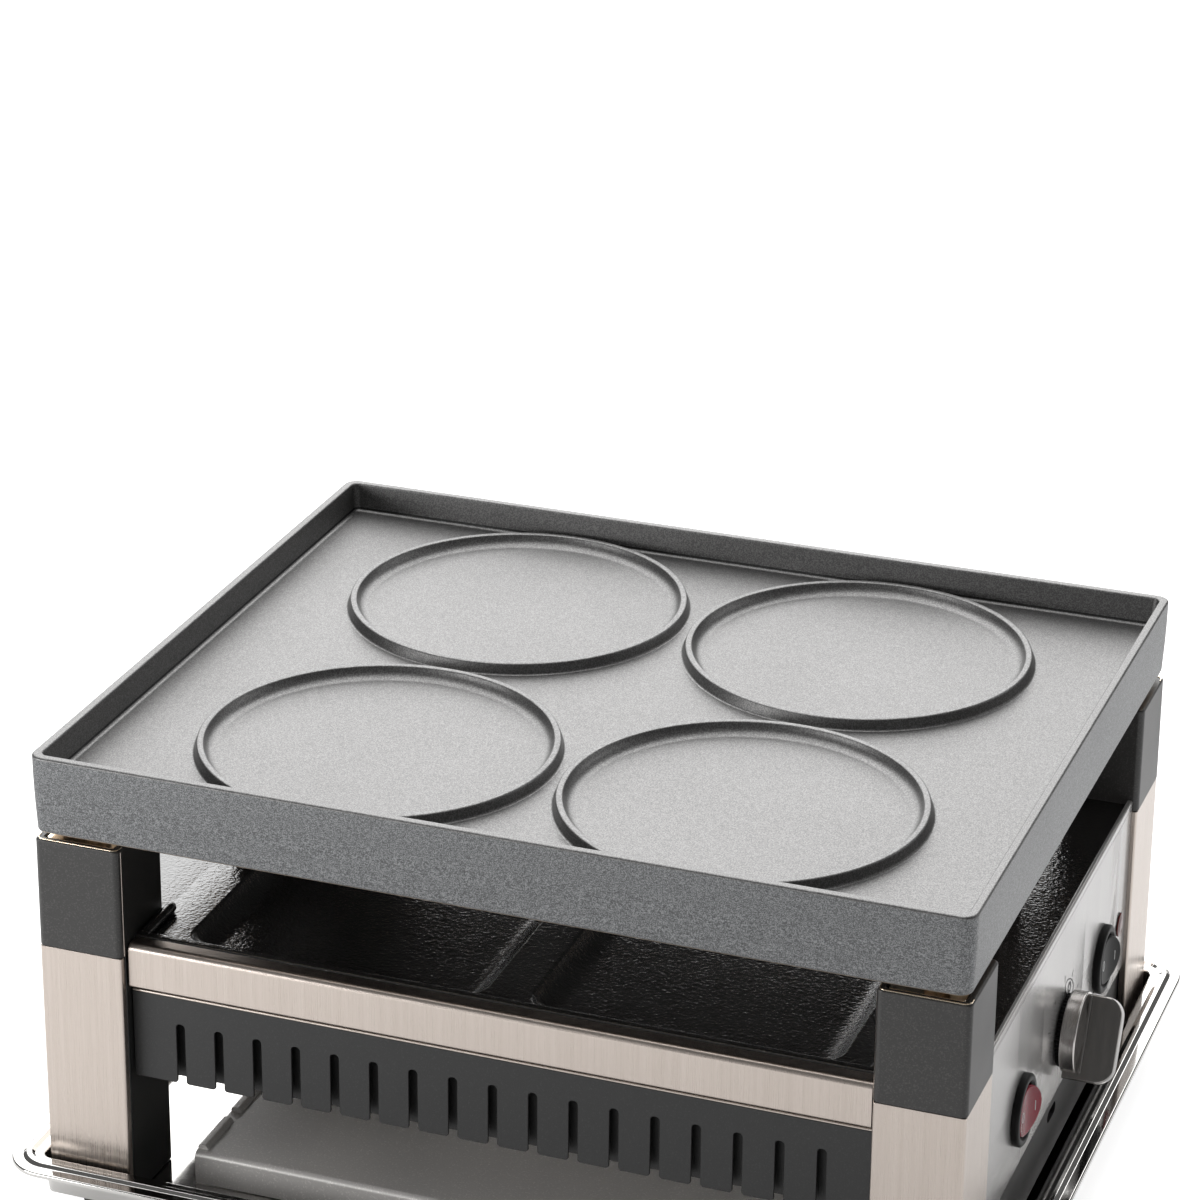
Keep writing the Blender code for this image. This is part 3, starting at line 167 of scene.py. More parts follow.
def turned_rings(profile, axis, centre, steps=64):
    """A turned surface: for each (radius, level) of the profile, centre + radius * (cos, sin)."""
    profile = np.asarray(profile, float)
    turn = all_round(steps)
    circle = np.stack([np.cos(turn), np.sin(turn)], axis=-1)
    rings = profile[:, 0, None, None] * circle + np.asarray(centre, float)
    return standing(rings, axis, profile[:, 1, None])


def tube_rings(route, radius, steps=20):
    """A round tube: route + radius * (cos * n + sin * b), where n is square to the route's
    direction and lies on the side of one slanting direction that no tangent is parallel to.
    """
    route = np.asarray(route, float)
    along = np.gradient(route, axis=0)
    along /= np.linalg.norm(along, axis=1, keepdims=True)
    slanting = np.array((0.48, 0.60, 0.64))
    n = slanting - (along @ slanting)[:, None] * along
    n /= np.linalg.norm(n, axis=1, keepdims=True)
    b = np.cross(along, n)
    turn = all_round(steps)
    radius = np.broadcast_to(radius, len(route))[:, None, None]
    round_it = np.cos(turn)[:, None] * n[:, None] + np.sin(turn)[:, None] * b[:, None]
    return route[:, None] + radius * round_it


def grid_faces(rows, columns, loop_rows=False, loop_columns=True):
    """The four point numbers of each cell of a grid of points."""
    i, j = np.meshgrid(
        np.arange(rows if loop_rows else rows - 1),
        np.arange(columns if loop_columns else columns - 1), indexing="ij")
    i2, j2 = (i + 1) % rows, (j + 1) % columns
    cells = np.stack([i * columns + j, i * columns + j2, i2 * columns + j2, i2 * columns + j], -1)
    return cells.reshape(-1, 4)


# Meshes and pieces

PIECES = []


def placed(name, data):
    """A new object with this data, linked into the scene."""
    holder = bpy.data.objects.new(name, data)
    bpy.context.scene.collection.objects.link(holder)
    return holder


class Shell:
    """Collects grids of points into one mesh."""

    def __init__(self):
        self.points, self.faces, self.count = [], [], 0

    def add(self, rings, loop_rows=False, loop_columns=True, caps=True):
        """A grid of rings. Unless the rows are looped, the first and last rings are closed by a
        face each.
        """
        rings = np.asarray(rings, float)
        rows, columns = rings.shape[:2]
        faces = (grid_faces(rows, columns, loop_rows, loop_columns) + self.count).tolist()
        if caps and loop_columns and not loop_rows:
            first = np.arange(columns) + self.count
            faces += [first[::-1].tolist(), (first + (rows - 1) * columns).tolist()]
        flat = rings.reshape(-1, 3)
        if self.volume(flat, faces) < 0:
            faces = [face[::-1] for face in faces]
        self.points.append(flat)
        self.faces += faces
        self.count += len(flat)
        return self

    def add_open(self, rings, floor=False):
        """A grid of rings that stays open, or has a face inside its last ring."""
        rows, columns = rings.shape[:2]
        self.faces += (grid_faces(rows, columns) + self.count).tolist()
        if floor:
            self.faces.append((np.arange(columns) + self.count + (rows - 1) * columns).tolist())
        self.points.append(rings.reshape(-1, 3))
        self.count += rows * columns
        return self

    def volume(self, flat, faces):
        """Six times the volume inside the faces, by summing each face's fan of triangles."""
        total = 0.0
        quads = np.array([f for f in faces if len(f) == 4]) - self.count
        for b, c in ((1, 2), (2, 3)):
            a, second, third = flat[quads[:, 0]], flat[quads[:, b]], flat[quads[:, c]]
            total += np.einsum("ij,ij->i", a, np.cross(second, third)).sum()
        for face in faces:
            if len(face) != 4:
                ring = flat[np.array(face) - self.count]
                fan = np.cross(ring[1:-1], ring[2:])
                total += (fan @ ring[0]).sum()
        return total

    def extrude(self, outline, axis, low, high):
        return self.add(np.stack([standing(np.asarray(outline, float), axis, level)
                                  for level in (low, high)]))

    def turn(self, profile, axis, centre, steps=64, loop=False):
        return self.add(turned_rings(profile, axis, centre, steps), loop_rows=loop)

    def tube(self, route, radius, steps=20):
        return self.add(tube_rings(route, radius, steps))

    def move(self, matrix):
        """Turns and moves what has been added so far."""
        for index, flat in enumerate(self.points):
            self.points[index] = flat @ np.array(matrix.to_3x3()).T + np.array(matrix.translation)
        return self

    def piece(self, name, body, material, replaces=(), slot=None, weld=False, sharp=32,
              finish=None):
        """The piece with this mesh, which rides on the body and takes the solids' place. A finish
        is (each face's number, the material of number one, of number two and so on).
        """
        mesh = bpy.data.meshes.new(name)
        mesh.from_pydata(np.concatenate(self.points) * MM + SHIFT, [], self.faces)
        mesh.update()
        if weld:
            shape = bmesh.new()
            shape.from_mesh(mesh)
            bmesh.ops.remove_doubles(shape, verts=shape.verts, dist=1e-6)
            shape.to_mesh(mesh)
            shape.free()
        mesh.shade_smooth()
        mesh.set_sharp_from_angle(angle=math.radians(sharp))
        mesh.materials.append(material)
        if finish:
            for other in finish[1:]:
                mesh.materials.append(other)
            mesh.polygons.foreach_set("material_index", finish[0].astype(np.int32))
        piece = placed(name, mesh)
        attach(piece, body)
        if replaces:
            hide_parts(*replaces)
        PIECES.append(piece)
        return piece


def bevelled(piece, width, segments=3, angle=40):
    """Rounds the piece's sharp edges by the width in millimetres."""
    bevel = piece.modifiers.new("rounded_edges", "BEVEL")
    bevel.width = width * MM
    bevel.segments = segments
    bevel.limit_method = "ANGLE"
    bevel.angle_limit = math.radians(angle)
    return piece


def thickened(piece):
    """Gives the piece the thickness of its sheet, inward from its face."""
    sheet = piece.modifiers.new("sheet", "SOLIDIFY")
    sheet.thickness, sheet.offset = SHEET * MM, -1


def flatten_shading():
    """Gives the broad faces their own direction, so that only the rounded edges shade."""
    for piece in PIECES:
        weighted = piece.modifiers.new("flat_faces", "WEIGHTED_NORMAL")
        weighted.keep_sharp = True


# Node trees

def add_node(tree, kind, settings=None, **inputs):
    """A node with its settings, and its inputs by socket name or number: a value, or a socket."""
    node = tree.nodes.new(kind)
    for key, value in (settings or {}).items():
        setattr(node, key, value)
    for key, value in inputs.items():
        key = int(key[1:]) if key[0] == "n" and key[1:].isdigit() else key.replace("_", " ")
        if isinstance(value, bpy.types.NodeSocket):
            tree.links.new(value, node.inputs[key])
        else:
            node.inputs[key].default_value = value
    return node


def math_node(tree, operation, first, second=0.0):
    """The result of one operation on two values or sockets."""
    node = add_node(tree, "ShaderNodeMath", {"operation": operation}, n0=first, n1=second)
    return node.outputs[0]


def mix_colours(tree, share, first, second):
    """The first colour where the share is 0, the second where it is 1."""
    node = tree.nodes.new("ShaderNodeMix")
    node.data_type = "RGBA"
    for index, value in ((0, share), (6, first), (7, second)):
        if isinstance(value, bpy.types.NodeSocket):
            tree.links.new(value, node.inputs[index])
        else:
            node.inputs[index].default_value = value
    return node.outputs[2]


def ranged(tree, value, low, high, from_low=0.0, from_high=1.0):
    """The value's run from from_low to from_high, moved to the run from low to high."""
    node = add_node(tree, "ShaderNodeMapRange", None, n0=value, n1=from_low, n2=from_high, n3=low,
                    n4=high)
    return node.outputs[0]


def new_group(name, inputs, outputs):
    """A shader node group with these sockets: name to (type, default)."""
    group = bpy.data.node_groups.new(name, "ShaderNodeTree")
    for title, (kind, default) in inputs.items():
        socket = group.interface.new_socket(name=title, in_out="INPUT", socket_type=kind)
        socket.default_value = default
    for title, kind in outputs.items():
        group.interface.new_socket(name=title, in_out="OUTPUT", socket_type=kind)
    start = group.nodes.new("NodeGroupInput")
    finish = group.nodes.new("NodeGroupOutput")
    return group, start.outputs, finish.inputs


FLOAT, VECTOR = "NodeSocketFloat", "NodeSocketVector"


def grain_group():
    """Fine two-size speckle on Object coordinates: a mask of light flecks, and a height."""
    group, given, out = new_group(
        "fine_grain", {"Size": (FLOAT, 0.6), "Flecks": (FLOAT, 0.5)},
        {"Flecks": FLOAT, "Height": FLOAT})
    place = group.nodes.new("ShaderNodeTexCoord").outputs["Object"]
    scale = math_node(group, "DIVIDE", 1000.0, given["Size"])
    fine = add_node(group, "ShaderNodeTexNoise", None, Vector=place, Scale=scale, Detail=2.0,
                    Roughness=0.6).outputs["Fac"]
    coarse_ratio, coarse_share, fleck_edge = 0.37, 0.15, 0.14
    coarse_scale = math_node(group, "MULTIPLY", scale, coarse_ratio)
    coarse = add_node(group, "ShaderNodeTexNoise", None, Vector=place, Scale=coarse_scale,
                      Detail=1.0).outputs["Fac"]
    both = math_node(group, "ADD", math_node(group, "MULTIPLY", fine, 1 - coarse_share),
                     math_node(group, "MULTIPLY", coarse, coarse_share))
    threshold = ranged(group, given["Flecks"], 0.66, 0.42)
    high = math_node(group, "ADD", threshold, fleck_edge)
    mask = add_node(group, "ShaderNodeMapRange", {"interpolation_type": "SMOOTHSTEP"}, n0=both,
                    n1=threshold, n2=high, n3=0.0, n4=1.0).outputs[0]
    group.links.new(mask, out["Flecks"])
    group.links.new(both, out["Height"])
    return group


def brushing_group():
    """Long fine scratches: noise on Object coordinates that are stretched by Pitch, in scratches
    per metre along x, y and z, with a second, wider set under it.
    """
    group, given, out = new_group(
        "brushing", {"Pitch": (VECTOR, (4000.0, 4000.0, 60.0))},
        {"Streaks": FLOAT, "Bands": FLOAT})
    place = group.nodes.new("ShaderNodeTexCoord").outputs["Object"]
    stretched = add_node(group, "ShaderNodeVectorMath", {"operation": "MULTIPLY"}, n0=place,
                         n1=given["Pitch"]).outputs[0]
    fine = add_node(group, "ShaderNodeTexNoise", None, Vector=stretched, Scale=1.0, Detail=3.0,
                    Roughness=0.7).outputs["Fac"]
    wide = add_node(group, "ShaderNodeTexNoise", None, Vector=stretched, Scale=0.12, Detail=2.0,
                    Roughness=0.5).outputs["Fac"]
    group.links.new(fine, out["Streaks"])
    group.links.new(wide, out["Bands"])
    return group


def handling_group():
    """Large soft clouds, for the slight unevenness that wiping and handling leave."""
    group, given, out = new_group("handling", {"Size": (FLOAT, 40.0)}, {"Clouds": FLOAT})
    place = group.nodes.new("ShaderNodeTexCoord").outputs["Object"]
    scale = math_node(group, "DIVIDE", 1000.0, given["Size"])
    clouds = add_node(group, "ShaderNodeTexNoise", None, Vector=place, Scale=scale, Detail=3.0,
                      Roughness=0.55, Distortion=0.4).outputs["Fac"]
    group.links.new(clouds, out["Clouds"])
    return group


GRAIN, BRUSHING, HANDLING = grain_group(), brushing_group(), handling_group()


def use_group(tree, group, **inputs):
    return add_node(tree, "ShaderNodeGroup", {"node_tree": group}, **inputs).outputs


def new_material(name, metallic=0.0, ior=1.5):
    """(material, its node tree, its shader)."""
    material = bpy.data.materials.new(name)
    material.use_nodes = True
    tree = material.node_tree
    shader = tree.nodes["Principled BSDF"]
    shader.inputs["Metallic"].default_value = metallic
    shader.inputs["IOR"].default_value = ior
    return material, tree, shader


def bump(tree, shader, height, strength, distance):
    """Feeds a height in millimetres times distance to the shader's normal."""
    node = add_node(tree, "ShaderNodeBump", None, Strength=strength, Distance=distance * MM,
                    Height=height)
    tree.links.new(node.outputs[0], shader.inputs["Normal"])


def grey(value, warm=0.0):
    """A linear grey, warmer where warm is above zero and bluer below."""
    return (value * (1 + warm), value, value * (1 - warm), 1.0)


def grained(name, dark, light, roughness, size=0.6, flecks=0.5, relief=0.03, spread=0.08,
            metallic=0.0, ior=1.5, pitch=None):
    """A speckled coating or moulded grain: dark and light meet by the fleck mask. With a pitch,
    streaks are mixed into the mask.
    """
    material, tree, shader = new_material(name, metallic, ior)
    grain = use_group(tree, GRAIN, Size=size, Flecks=flecks)
    clouds = use_group(tree, HANDLING, Size=55.0)["Clouds"]
    share = grain["Flecks"]
    if pitch:
        lines = use_group(tree, BRUSHING, Pitch=pitch)["Streaks"]
        share = math_node(tree, "ADD", math_node(tree, "MULTIPLY", share, 0.5),
                          ranged(tree, lines, 0.1, 0.4, 0.35, 0.65))
    colour = mix_colours(tree, share, dark, light)
    tree.links.new(colour, shader.inputs["Base Color"])
    rough = math_node(tree, "ADD", ranged(tree, clouds, roughness - spread, roughness + spread),
                      ranged(tree, grain["Height"], -0.06, 0.06))
    tree.links.new(rough, shader.inputs["Roughness"])
    bump(tree, shader, grain["Height"], 0.6, relief)
    return material


def brushed(name, dark, light, roughness, pitch, relief=0.006, spread=0.06, metallic=1.0):
    """Brushed metal: streaks vary the tint and the roughness and cut a fine relief."""
    material, tree, shader = new_material(name, metallic)
    lines = use_group(tree, BRUSHING, Pitch=pitch)
    clouds = use_group(tree, HANDLING, Size=70.0)["Clouds"]
    share = math_node(tree, "ADD", math_node(tree, "MULTIPLY", lines["Streaks"], 0.6),
                      math_node(tree, "MULTIPLY", lines["Bands"], 0.4))
    colour = mix_colours(tree, ranged(tree, share, 0.0, 1.0, 0.32, 0.68), dark, light)
    tree.links.new(colour, shader.inputs["Base Color"])
    rough = math_node(tree, "ADD", ranged(tree, lines["Streaks"], -spread, spread, 0.3, 0.7),
                      ranged(tree, clouds, roughness - 0.03, roughness + 0.03))
    tree.links.new(rough, shader.inputs["Roughness"])
    if relief:
        bump(tree, shader, lines["Streaks"], 0.5, relief)
    return material


def polished(name, colour, roughness, scratch=0.04):
    """Polished metal with faint wiping marks in its roughness."""
    material, tree, shader = new_material(name, 1.0)
    clouds = use_group(tree, HANDLING, Size=25.0)["Clouds"]
    fine = use_group(tree, BRUSHING, Pitch=(900.0, 220.0, 900.0))["Streaks"]
    tint = mix_colours(tree, ranged(tree, clouds, 0.0, 1.0, 0.35, 0.65), colour,
                       tuple(min(1.0, c * 1.06) for c in colour[:3]) + (1.0,))
    tree.links.new(tint, shader.inputs["Base Color"])
    rough = math_node(tree, "ADD", ranged(tree, clouds, roughness, roughness + scratch, 0.3, 0.7),
                      ranged(tree, fine, 0.0, scratch / 2, 0.4, 0.7))
    tree.links.new(rough, shader.inputs["Roughness"])
    return material


def enamel(name):
    """Glossy black enamel whose surface ripples like orange peel."""
    material, tree, shader = new_material(name, 0.0, 1.95)
    peel = use_group(tree, GRAIN, Size=1.4, Flecks=0.2)
    clouds = use_group(tree, HANDLING, Size=30.0)["Clouds"]
    colour = mix_colours(tree, clouds, (0.010, 0.010, 0.010, 1), (0.020, 0.019, 0.018, 1))
    tree.links.new(colour, shader.inputs["Base Color"])
    tree.links.new(ranged(tree, clouds, 0.07, 0.14), shader.inputs["Roughness"])
    bump(tree, shader, peel["Height"], 0.95, 0.28)
    return material


def clear_red(name, colour):
    """Coloured clear plastic: a deep body colour under a smooth gloss."""
    material, tree, shader = new_material(name, 0.0, 1.49)
    clouds = use_group(tree, HANDLING, Size=9.0)["Clouds"]
    darker = tuple(c * 0.55 for c in colour[:3]) + (1.0,)
    tree.links.new(mix_colours(tree, clouds, darker, colour), shader.inputs["Base Color"])
    tree.links.new(ranged(tree, clouds, 0.10, 0.20), shader.inputs["Roughness"])
    shader.inputs["Specular IOR Level"].default_value = 0.15
    return material


CAST = grained("cast_coating", grey(0.125, 0.01), grey(0.215, 0.01), 0.45, size=0.50, flecks=0.9,
               relief=0.035, spread=0.03, metallic=0.92)
CAST_WALL = grained("cast_coating_wall", grey(0.050, -0.02), grey(0.30, -0.02), 0.42, size=0.42,
                    flecks=0.85, relief=0.05, spread=0.03, metallic=0.92,
                    pitch=(600.0, 600.0, 2200.0))
# The inner walls' darker copy of the coating: painted shade
CAST_SHADED_INSIDE = grained("cast_coating_inside_painted_shade", grey(0.036), grey(0.078), 0.45, spread=0.03,
                      metallic=0.92)
# Bare cast metal of the underside and pegs, partly painted light: its warm bright tint gives the
# seats a golden reflection
BARE_CAST_GOLD_SHEEN = grained("bare_cast_metal_gold_sheen", (0.56, 0.45, 0.35, 1), (0.70, 0.58, 0.46, 1), 0.36,
                    size=1.2, flecks=0.8, spread=0.04, metallic=1.0)
CAP_BLACK = grained("cap_moulding", grey(0.024, 0.04), grey(0.052, 0.04), 0.40, size=0.5,
                    flecks=0.6)
LACQUER = grained("black_lacquer", grey(0.012), grey(0.025), 0.42, size=0.45, relief=0.025)
PLASTIC = grained("black_plastic", grey(0.010), grey(0.022), 0.42, size=0.35, flecks=0.3,
                  relief=0.012, ior=1.2)
STEEL = brushed("brushed_steel_upright", (0.49, 0.43, 0.385, 1), (0.57, 0.505, 0.46, 1), 0.30,
                (5200.0, 5200.0, 45.0), relief=0.004)
PANEL_STEEL = brushed("panel_steel", (0.45, 0.44, 0.435, 1), (0.49, 0.48, 0.47, 1), 0.27,
                      (1500.0, 1500.0, 25.0), relief=0.0, spread=0.0, metallic=0.6)
NICKEL = brushed("satin_nickel", (0.23, 0.222, 0.212, 1), (0.32, 0.308, 0.295, 1), 0.25,
                 (4000.0, 120.0, 120.0), relief=0.0, spread=0.02, metallic=0.9)
# A lighter copy of the satin nickel for the knob's disc rim: painted sheen
NICKEL_RIM_SHEEN = brushed("satin_nickel_rim_sheen", (0.50, 0.48, 0.465, 1), (0.68, 0.655, 0.635, 1), 0.24,
                     (4000.0, 120.0, 120.0), relief=0.0, spread=0.02, metallic=0.95)
POLISH = polished("polished_steel", (0.58, 0.57, 0.555, 1), 0.05)
# Polished steel for the seats, tinted gold as a painted warm reflection; the caps' edge lines use
# it as a painted golden highlight
SEAT_GOLD_SHEEN = polished("seat_metal_gold_sheen", (0.88, 0.76, 0.60, 1), 0.10)
ENAMEL = enamel("black_enamel")
DECK_GREY = grained("deck_sheet", grey(0.66, 0.03), grey(0.84, 0.03), 0.40, size=0.7, relief=0.02,
                    metallic=0.3)
OXIDE = grained("element_sheath", (0.075, 0.066, 0.06, 1), (0.15, 0.13, 0.115, 1), 0.42, size=0.9,
                relief=0.02, metallic=0.8)
REFLECTOR = brushed("reflector_steel", (0.42, 0.40, 0.38, 1), (0.55, 0.52, 0.49, 1), 0.32,
                    (60.0, 4200.0, 4200.0))
CERAMIC = grained("ceramic", (0.55, 0.52, 0.46, 1), (0.68, 0.65, 0.59, 1), 0.6, size=0.8)
RUBBER = grained("foot_rubber", grey(0.02), grey(0.032), 0.78, flecks=0.4)
RED = clear_red("red_rocker", (0.26, 0.008, 0.025, 1))
LENS = clear_red("lamp_red", (0.13, 0.018, 0.016, 1))
PRINT = grained("printed_black", grey(0.02), grey(0.03), 0.5, size=0.3, relief=0.002)
LEGEND = grained("legend_grey", grey(0.62), grey(0.72), 0.4, size=0.3, relief=0.002)


# The griddle plate: a profile carried round a rounded rectangle, with turned ridges

def make_griddle():
    """Each profile point gives an inset and a level, and the outline at that inset is a rounded
    rectangle whose corner tightens as it moves inward. The ridges are one section turned about
    the middle of each ring.
    """
    rim, foot, middle = 3.4, 4.6, 14.0
    corners = (
        (16.0, PLATE_UNDERSIDE), (7.2, PLATE_UNDERSIDE), (6.0, SKIRT_FOOT), (0.95, SKIRT_FOOT),
        (0.1, PLATE_TOP - 13), (0.0, PLATE_TOP), (rim, PLATE_TOP), (foot, PLATE_FLOOR),
        (middle, PLATE_FLOOR),
    )
    profile = rounded_path(corners, (0, 1.5, 0.5, 1.3, 400.0, 0.9, 0.8, 1.7, 0), 9)
    inset, level = profile.T
    tight = np.interp(inset, (0, rim, foot, middle), (5.2, 2.7, 2.4, 0.8))
    rings = rounded_rings(PLATE_HALF_X - inset, PLATE_HALF_Y - inset, tight, 8)
    shell = Shell().add(standing(rings, "Z", level[:, None]))

    # Bare metal up to the skirt's toe is 1, warm-tinted as painted golden light for the seats to
    # mirror;
    # the outer walls are 2 and the inner walls 3, a darker copy of the coating as painted shade
    inset, level, row = inset[:-1], level[:-1], np.arange(len(level) - 1)
    toe = level.argmin() + np.argmin(level[level.argmin():] < SKIRT_FOOT + 0.45)
    outer = (inset < 0.99) & (level > SKIRT_FOOT + 0.4) & (level < PLATE_TOP - 1)
    inner = (inset > 3) & (inset < 5) & (level > PLATE_FLOOR + 0.9) & (level < PLATE_TOP - 0.9)
    numbers = np.select([inner, outer & (row >= toe), row < toe], [3, 2, 1], 0)
    numbers = np.append(np.repeat(numbers, rings.shape[1]), [0, 0])
    peg = rounded_path(((0.4, 148.2), (4.5, 148.2), (4.5, 168.6)), (0, 1.0, 0), 4)
    for side_x, side_y in CORNERS.values():
        shell.turn(peg, "Z", (side_x * POST_X, side_y * POST_Y), 32)
    numbers = np.append(numbers, np.ones(len(shell.faces) - len(numbers), int))
    shell.piece("griddle_casting", GRIDDLE, CAST, ["griddle_plate"], "cast_coating",
                finish=(numbers, BARE_CAST_GOLD_SHEEN, CAST_WALL, CAST_SHADED_INSIDE))

    ridge = Shell()
    section = rounded_path(
        ((-8.5, -0.9), (-8.4, -0.04), (-2.6, 0.02), (-0.95, 4.2), (1.35, 4.2), (2.4, 0.0),
         (3.9, -0.04), (4.0, -0.9)),
        (0, 0, 4.6, 0.75, 0.85, 1.1, 0, 0), 7, closed=True) + (RING_RADIUS, PLATE_FLOOR)
    for side_x in (-1, 1):
        for side_y in (-1, 1):
            ridge.turn(section, "Z", (side_x * RING_X, side_y * RING_Y), 160, loop=True)
    ridge.piece("ring_ridges", GRIDDLE, CAST, slot="cast_coating")


# Posts, caps and seats

def make_posts():
    """Covers and cores are sections run upright, and caps a profile carried round a rounded
    rectangle. A seat's rings go from a turned hole to its rounded rectangle. Edge lines and beads
    are thin tubes along their routes, and feet and screws are turned. The edge lines and beads are
    painted highlights: golden tubes along the caps' top edges and steel tubes up one upright
    corner.
    """
    x, y = POST_SIDE_X, POST_SIDE_Y
    outer = np.array((POST_OUT_X, POST_OUT_Y))
    wall, flange = 1, 3
    cover = rounded_path(
        ((0, 0), (x, 0), (x, flange), (x - wall, flange), (x - wall, wall), (wall, wall),
         (wall, y - wall), (flange, y - wall), (flange, y), (0, y)),
        (1.1, 0.9, 0.3, 0.3, 0.1, 0.2, 0.1, 0.3, 0.3, 0.9), 5, closed=True)
    near, far = 1.3, 3.3
    core = np.array(((near, near), (x - near, near), (x - near, far), (x, far), (x, y),
                     (far, y), (far, y - near), (near, y - near)))

    cap = rounded_path(((-0.3, CAP_FOOT), (-0.3, CAP_TOP), (2.4, CAP_TOP), (2.4, CAP_FOOT)),
                       (0.35, 0.75, 0.35, 0.2), 5, closed=True)
    inset = cap[:, 0]
    sleeve = rounded_rings(x / 2 - inset, y / 2 - inset, np.maximum(2.1 - inset, 0.6), 7)

    hole = rounded_path(((5.3, SEAT_TOP - 4), (5.3, SEAT_TOP), (12.6, SEAT_TOP)), (0, 0.6, 0), 4)
    edge, soft = 2.7, 0.4
    square = rounded_rings(x / 2 - edge, y / 2 - edge, 1.6, 8)
    turn = np.arctan2(square[:, 1], square[:, 0])
    circle = np.stack([np.cos(turn), np.sin(turn)], -1)
    seat = np.concatenate([
        standing(hole[:-1, 0, None, None] * circle, "Z", hole[:-1, 1, None]),
        standing(rounded_rings(x / 2 - edge - soft, y / 2 - edge - soft, 1.6 - soft, 8), "Z",
                 SEAT_TOP)[None],
        standing(square, "Z", SEAT_TOP - soft)[None],
        standing(square, "Z", CAP_FOOT)[None],
    ])

    # The edge line and the bead are painted highlights: a golden tube along each cap's top edge
    # and a steel tube up one upright corner
    line_radius, highlight_bead_radius = 0.28, 0.42
    line = rounded_path(((-x / 2, y / 2 - 4.0), (-x / 2, y / 2), (x / 2, y / 2),
                         (x / 2, y / 2 - 4.0)), (0, 2.2, 2.2, 0), 8) * (1 - 0.9 / x)
    bead = np.linspace((137.45, 137.3, CAP_FOOT + 0.3), (137.45, 137.3, CAP_TOP - 0.8), 8)
    foot = rounded_path(((2.8, 5.0), (5.4, 5.0), (5.4, 0.0), (10.5, 0.0), (12.0, 9.7),
                         (2.8, 9.7)), (0, 0.4, 0.5, 1.4, 0.6, 0), 5, closed=True)
    screw = rounded_path(((0.3, 2.9), (1.4, 2.9), (1.5, 2.0), (4.6, 2.0), (4.6, 4.7),
                          (2.4, 4.7), (2.4, 27.3)), (0, 0.1, 0.1, 1.3, 0.1, 0.1, 0), 4)

    for corner, sides in CORNERS.items():
        flip = np.array(sides)
        middle = flip * (POST_X, POST_Y)
        shell = Shell().extrude(flip * (outer - cover), "Z", POST_FOOT, POST_TOP)
        bevelled(shell.piece(corner + "_steel_cover", BASE, STEEL, [corner + "_post_cover"],
                             "brushed_stainless"), 0.15, segments=2, angle=60)
        shell = Shell().extrude(flip * (outer - core), "Z", POST_FOOT, POST_TOP)
        bevelled(shell.piece(corner + "_core_column", BASE, LACQUER, [corner + "_post_core"],
                             "post_core_black"), 0.5)
        shell = Shell().add(standing(sleeve + middle, "Z", cap[:, 1, None]), loop_rows=True)
        shell.piece(corner + "_sleeve", BASE, CAP_BLACK, [corner + "_cap"], "black_plastic")
        # The seat's gold tint is a painted reflection on polished steel
        Shell().add(seat + (*middle, 0)).piece(
            corner + "_seat", BASE, SEAT_GOLD_SHEEN, [corner + "_plate_seat"], "polished_steel")
        route = standing(flip * line + middle, "Z", CAP_TOP - 0.05)
        Shell().tube(route, line_radius, 12).piece(
            corner + "_cap_highlight_line", BASE, SEAT_GOLD_SHEEN, slot="polished_steel")
        Shell().tube(bead * (*sides, 1), highlight_bead_radius, 16).piece(
            corner + "_cap_highlight_bead", BASE, STEEL, slot="brushed_stainless")
        Shell().turn(foot, "Z", middle, 48, loop=True).piece(
            corner + "_rubber_foot", BASE, RUBBER, [corner + "_foot"], "rubber")
        Shell().turn(screw, "Z", middle, 32).piece(
            corner + "_screw", BASE, POLISH, [corner + "_post_screw"], "polished_steel")


# Crossbars and combs

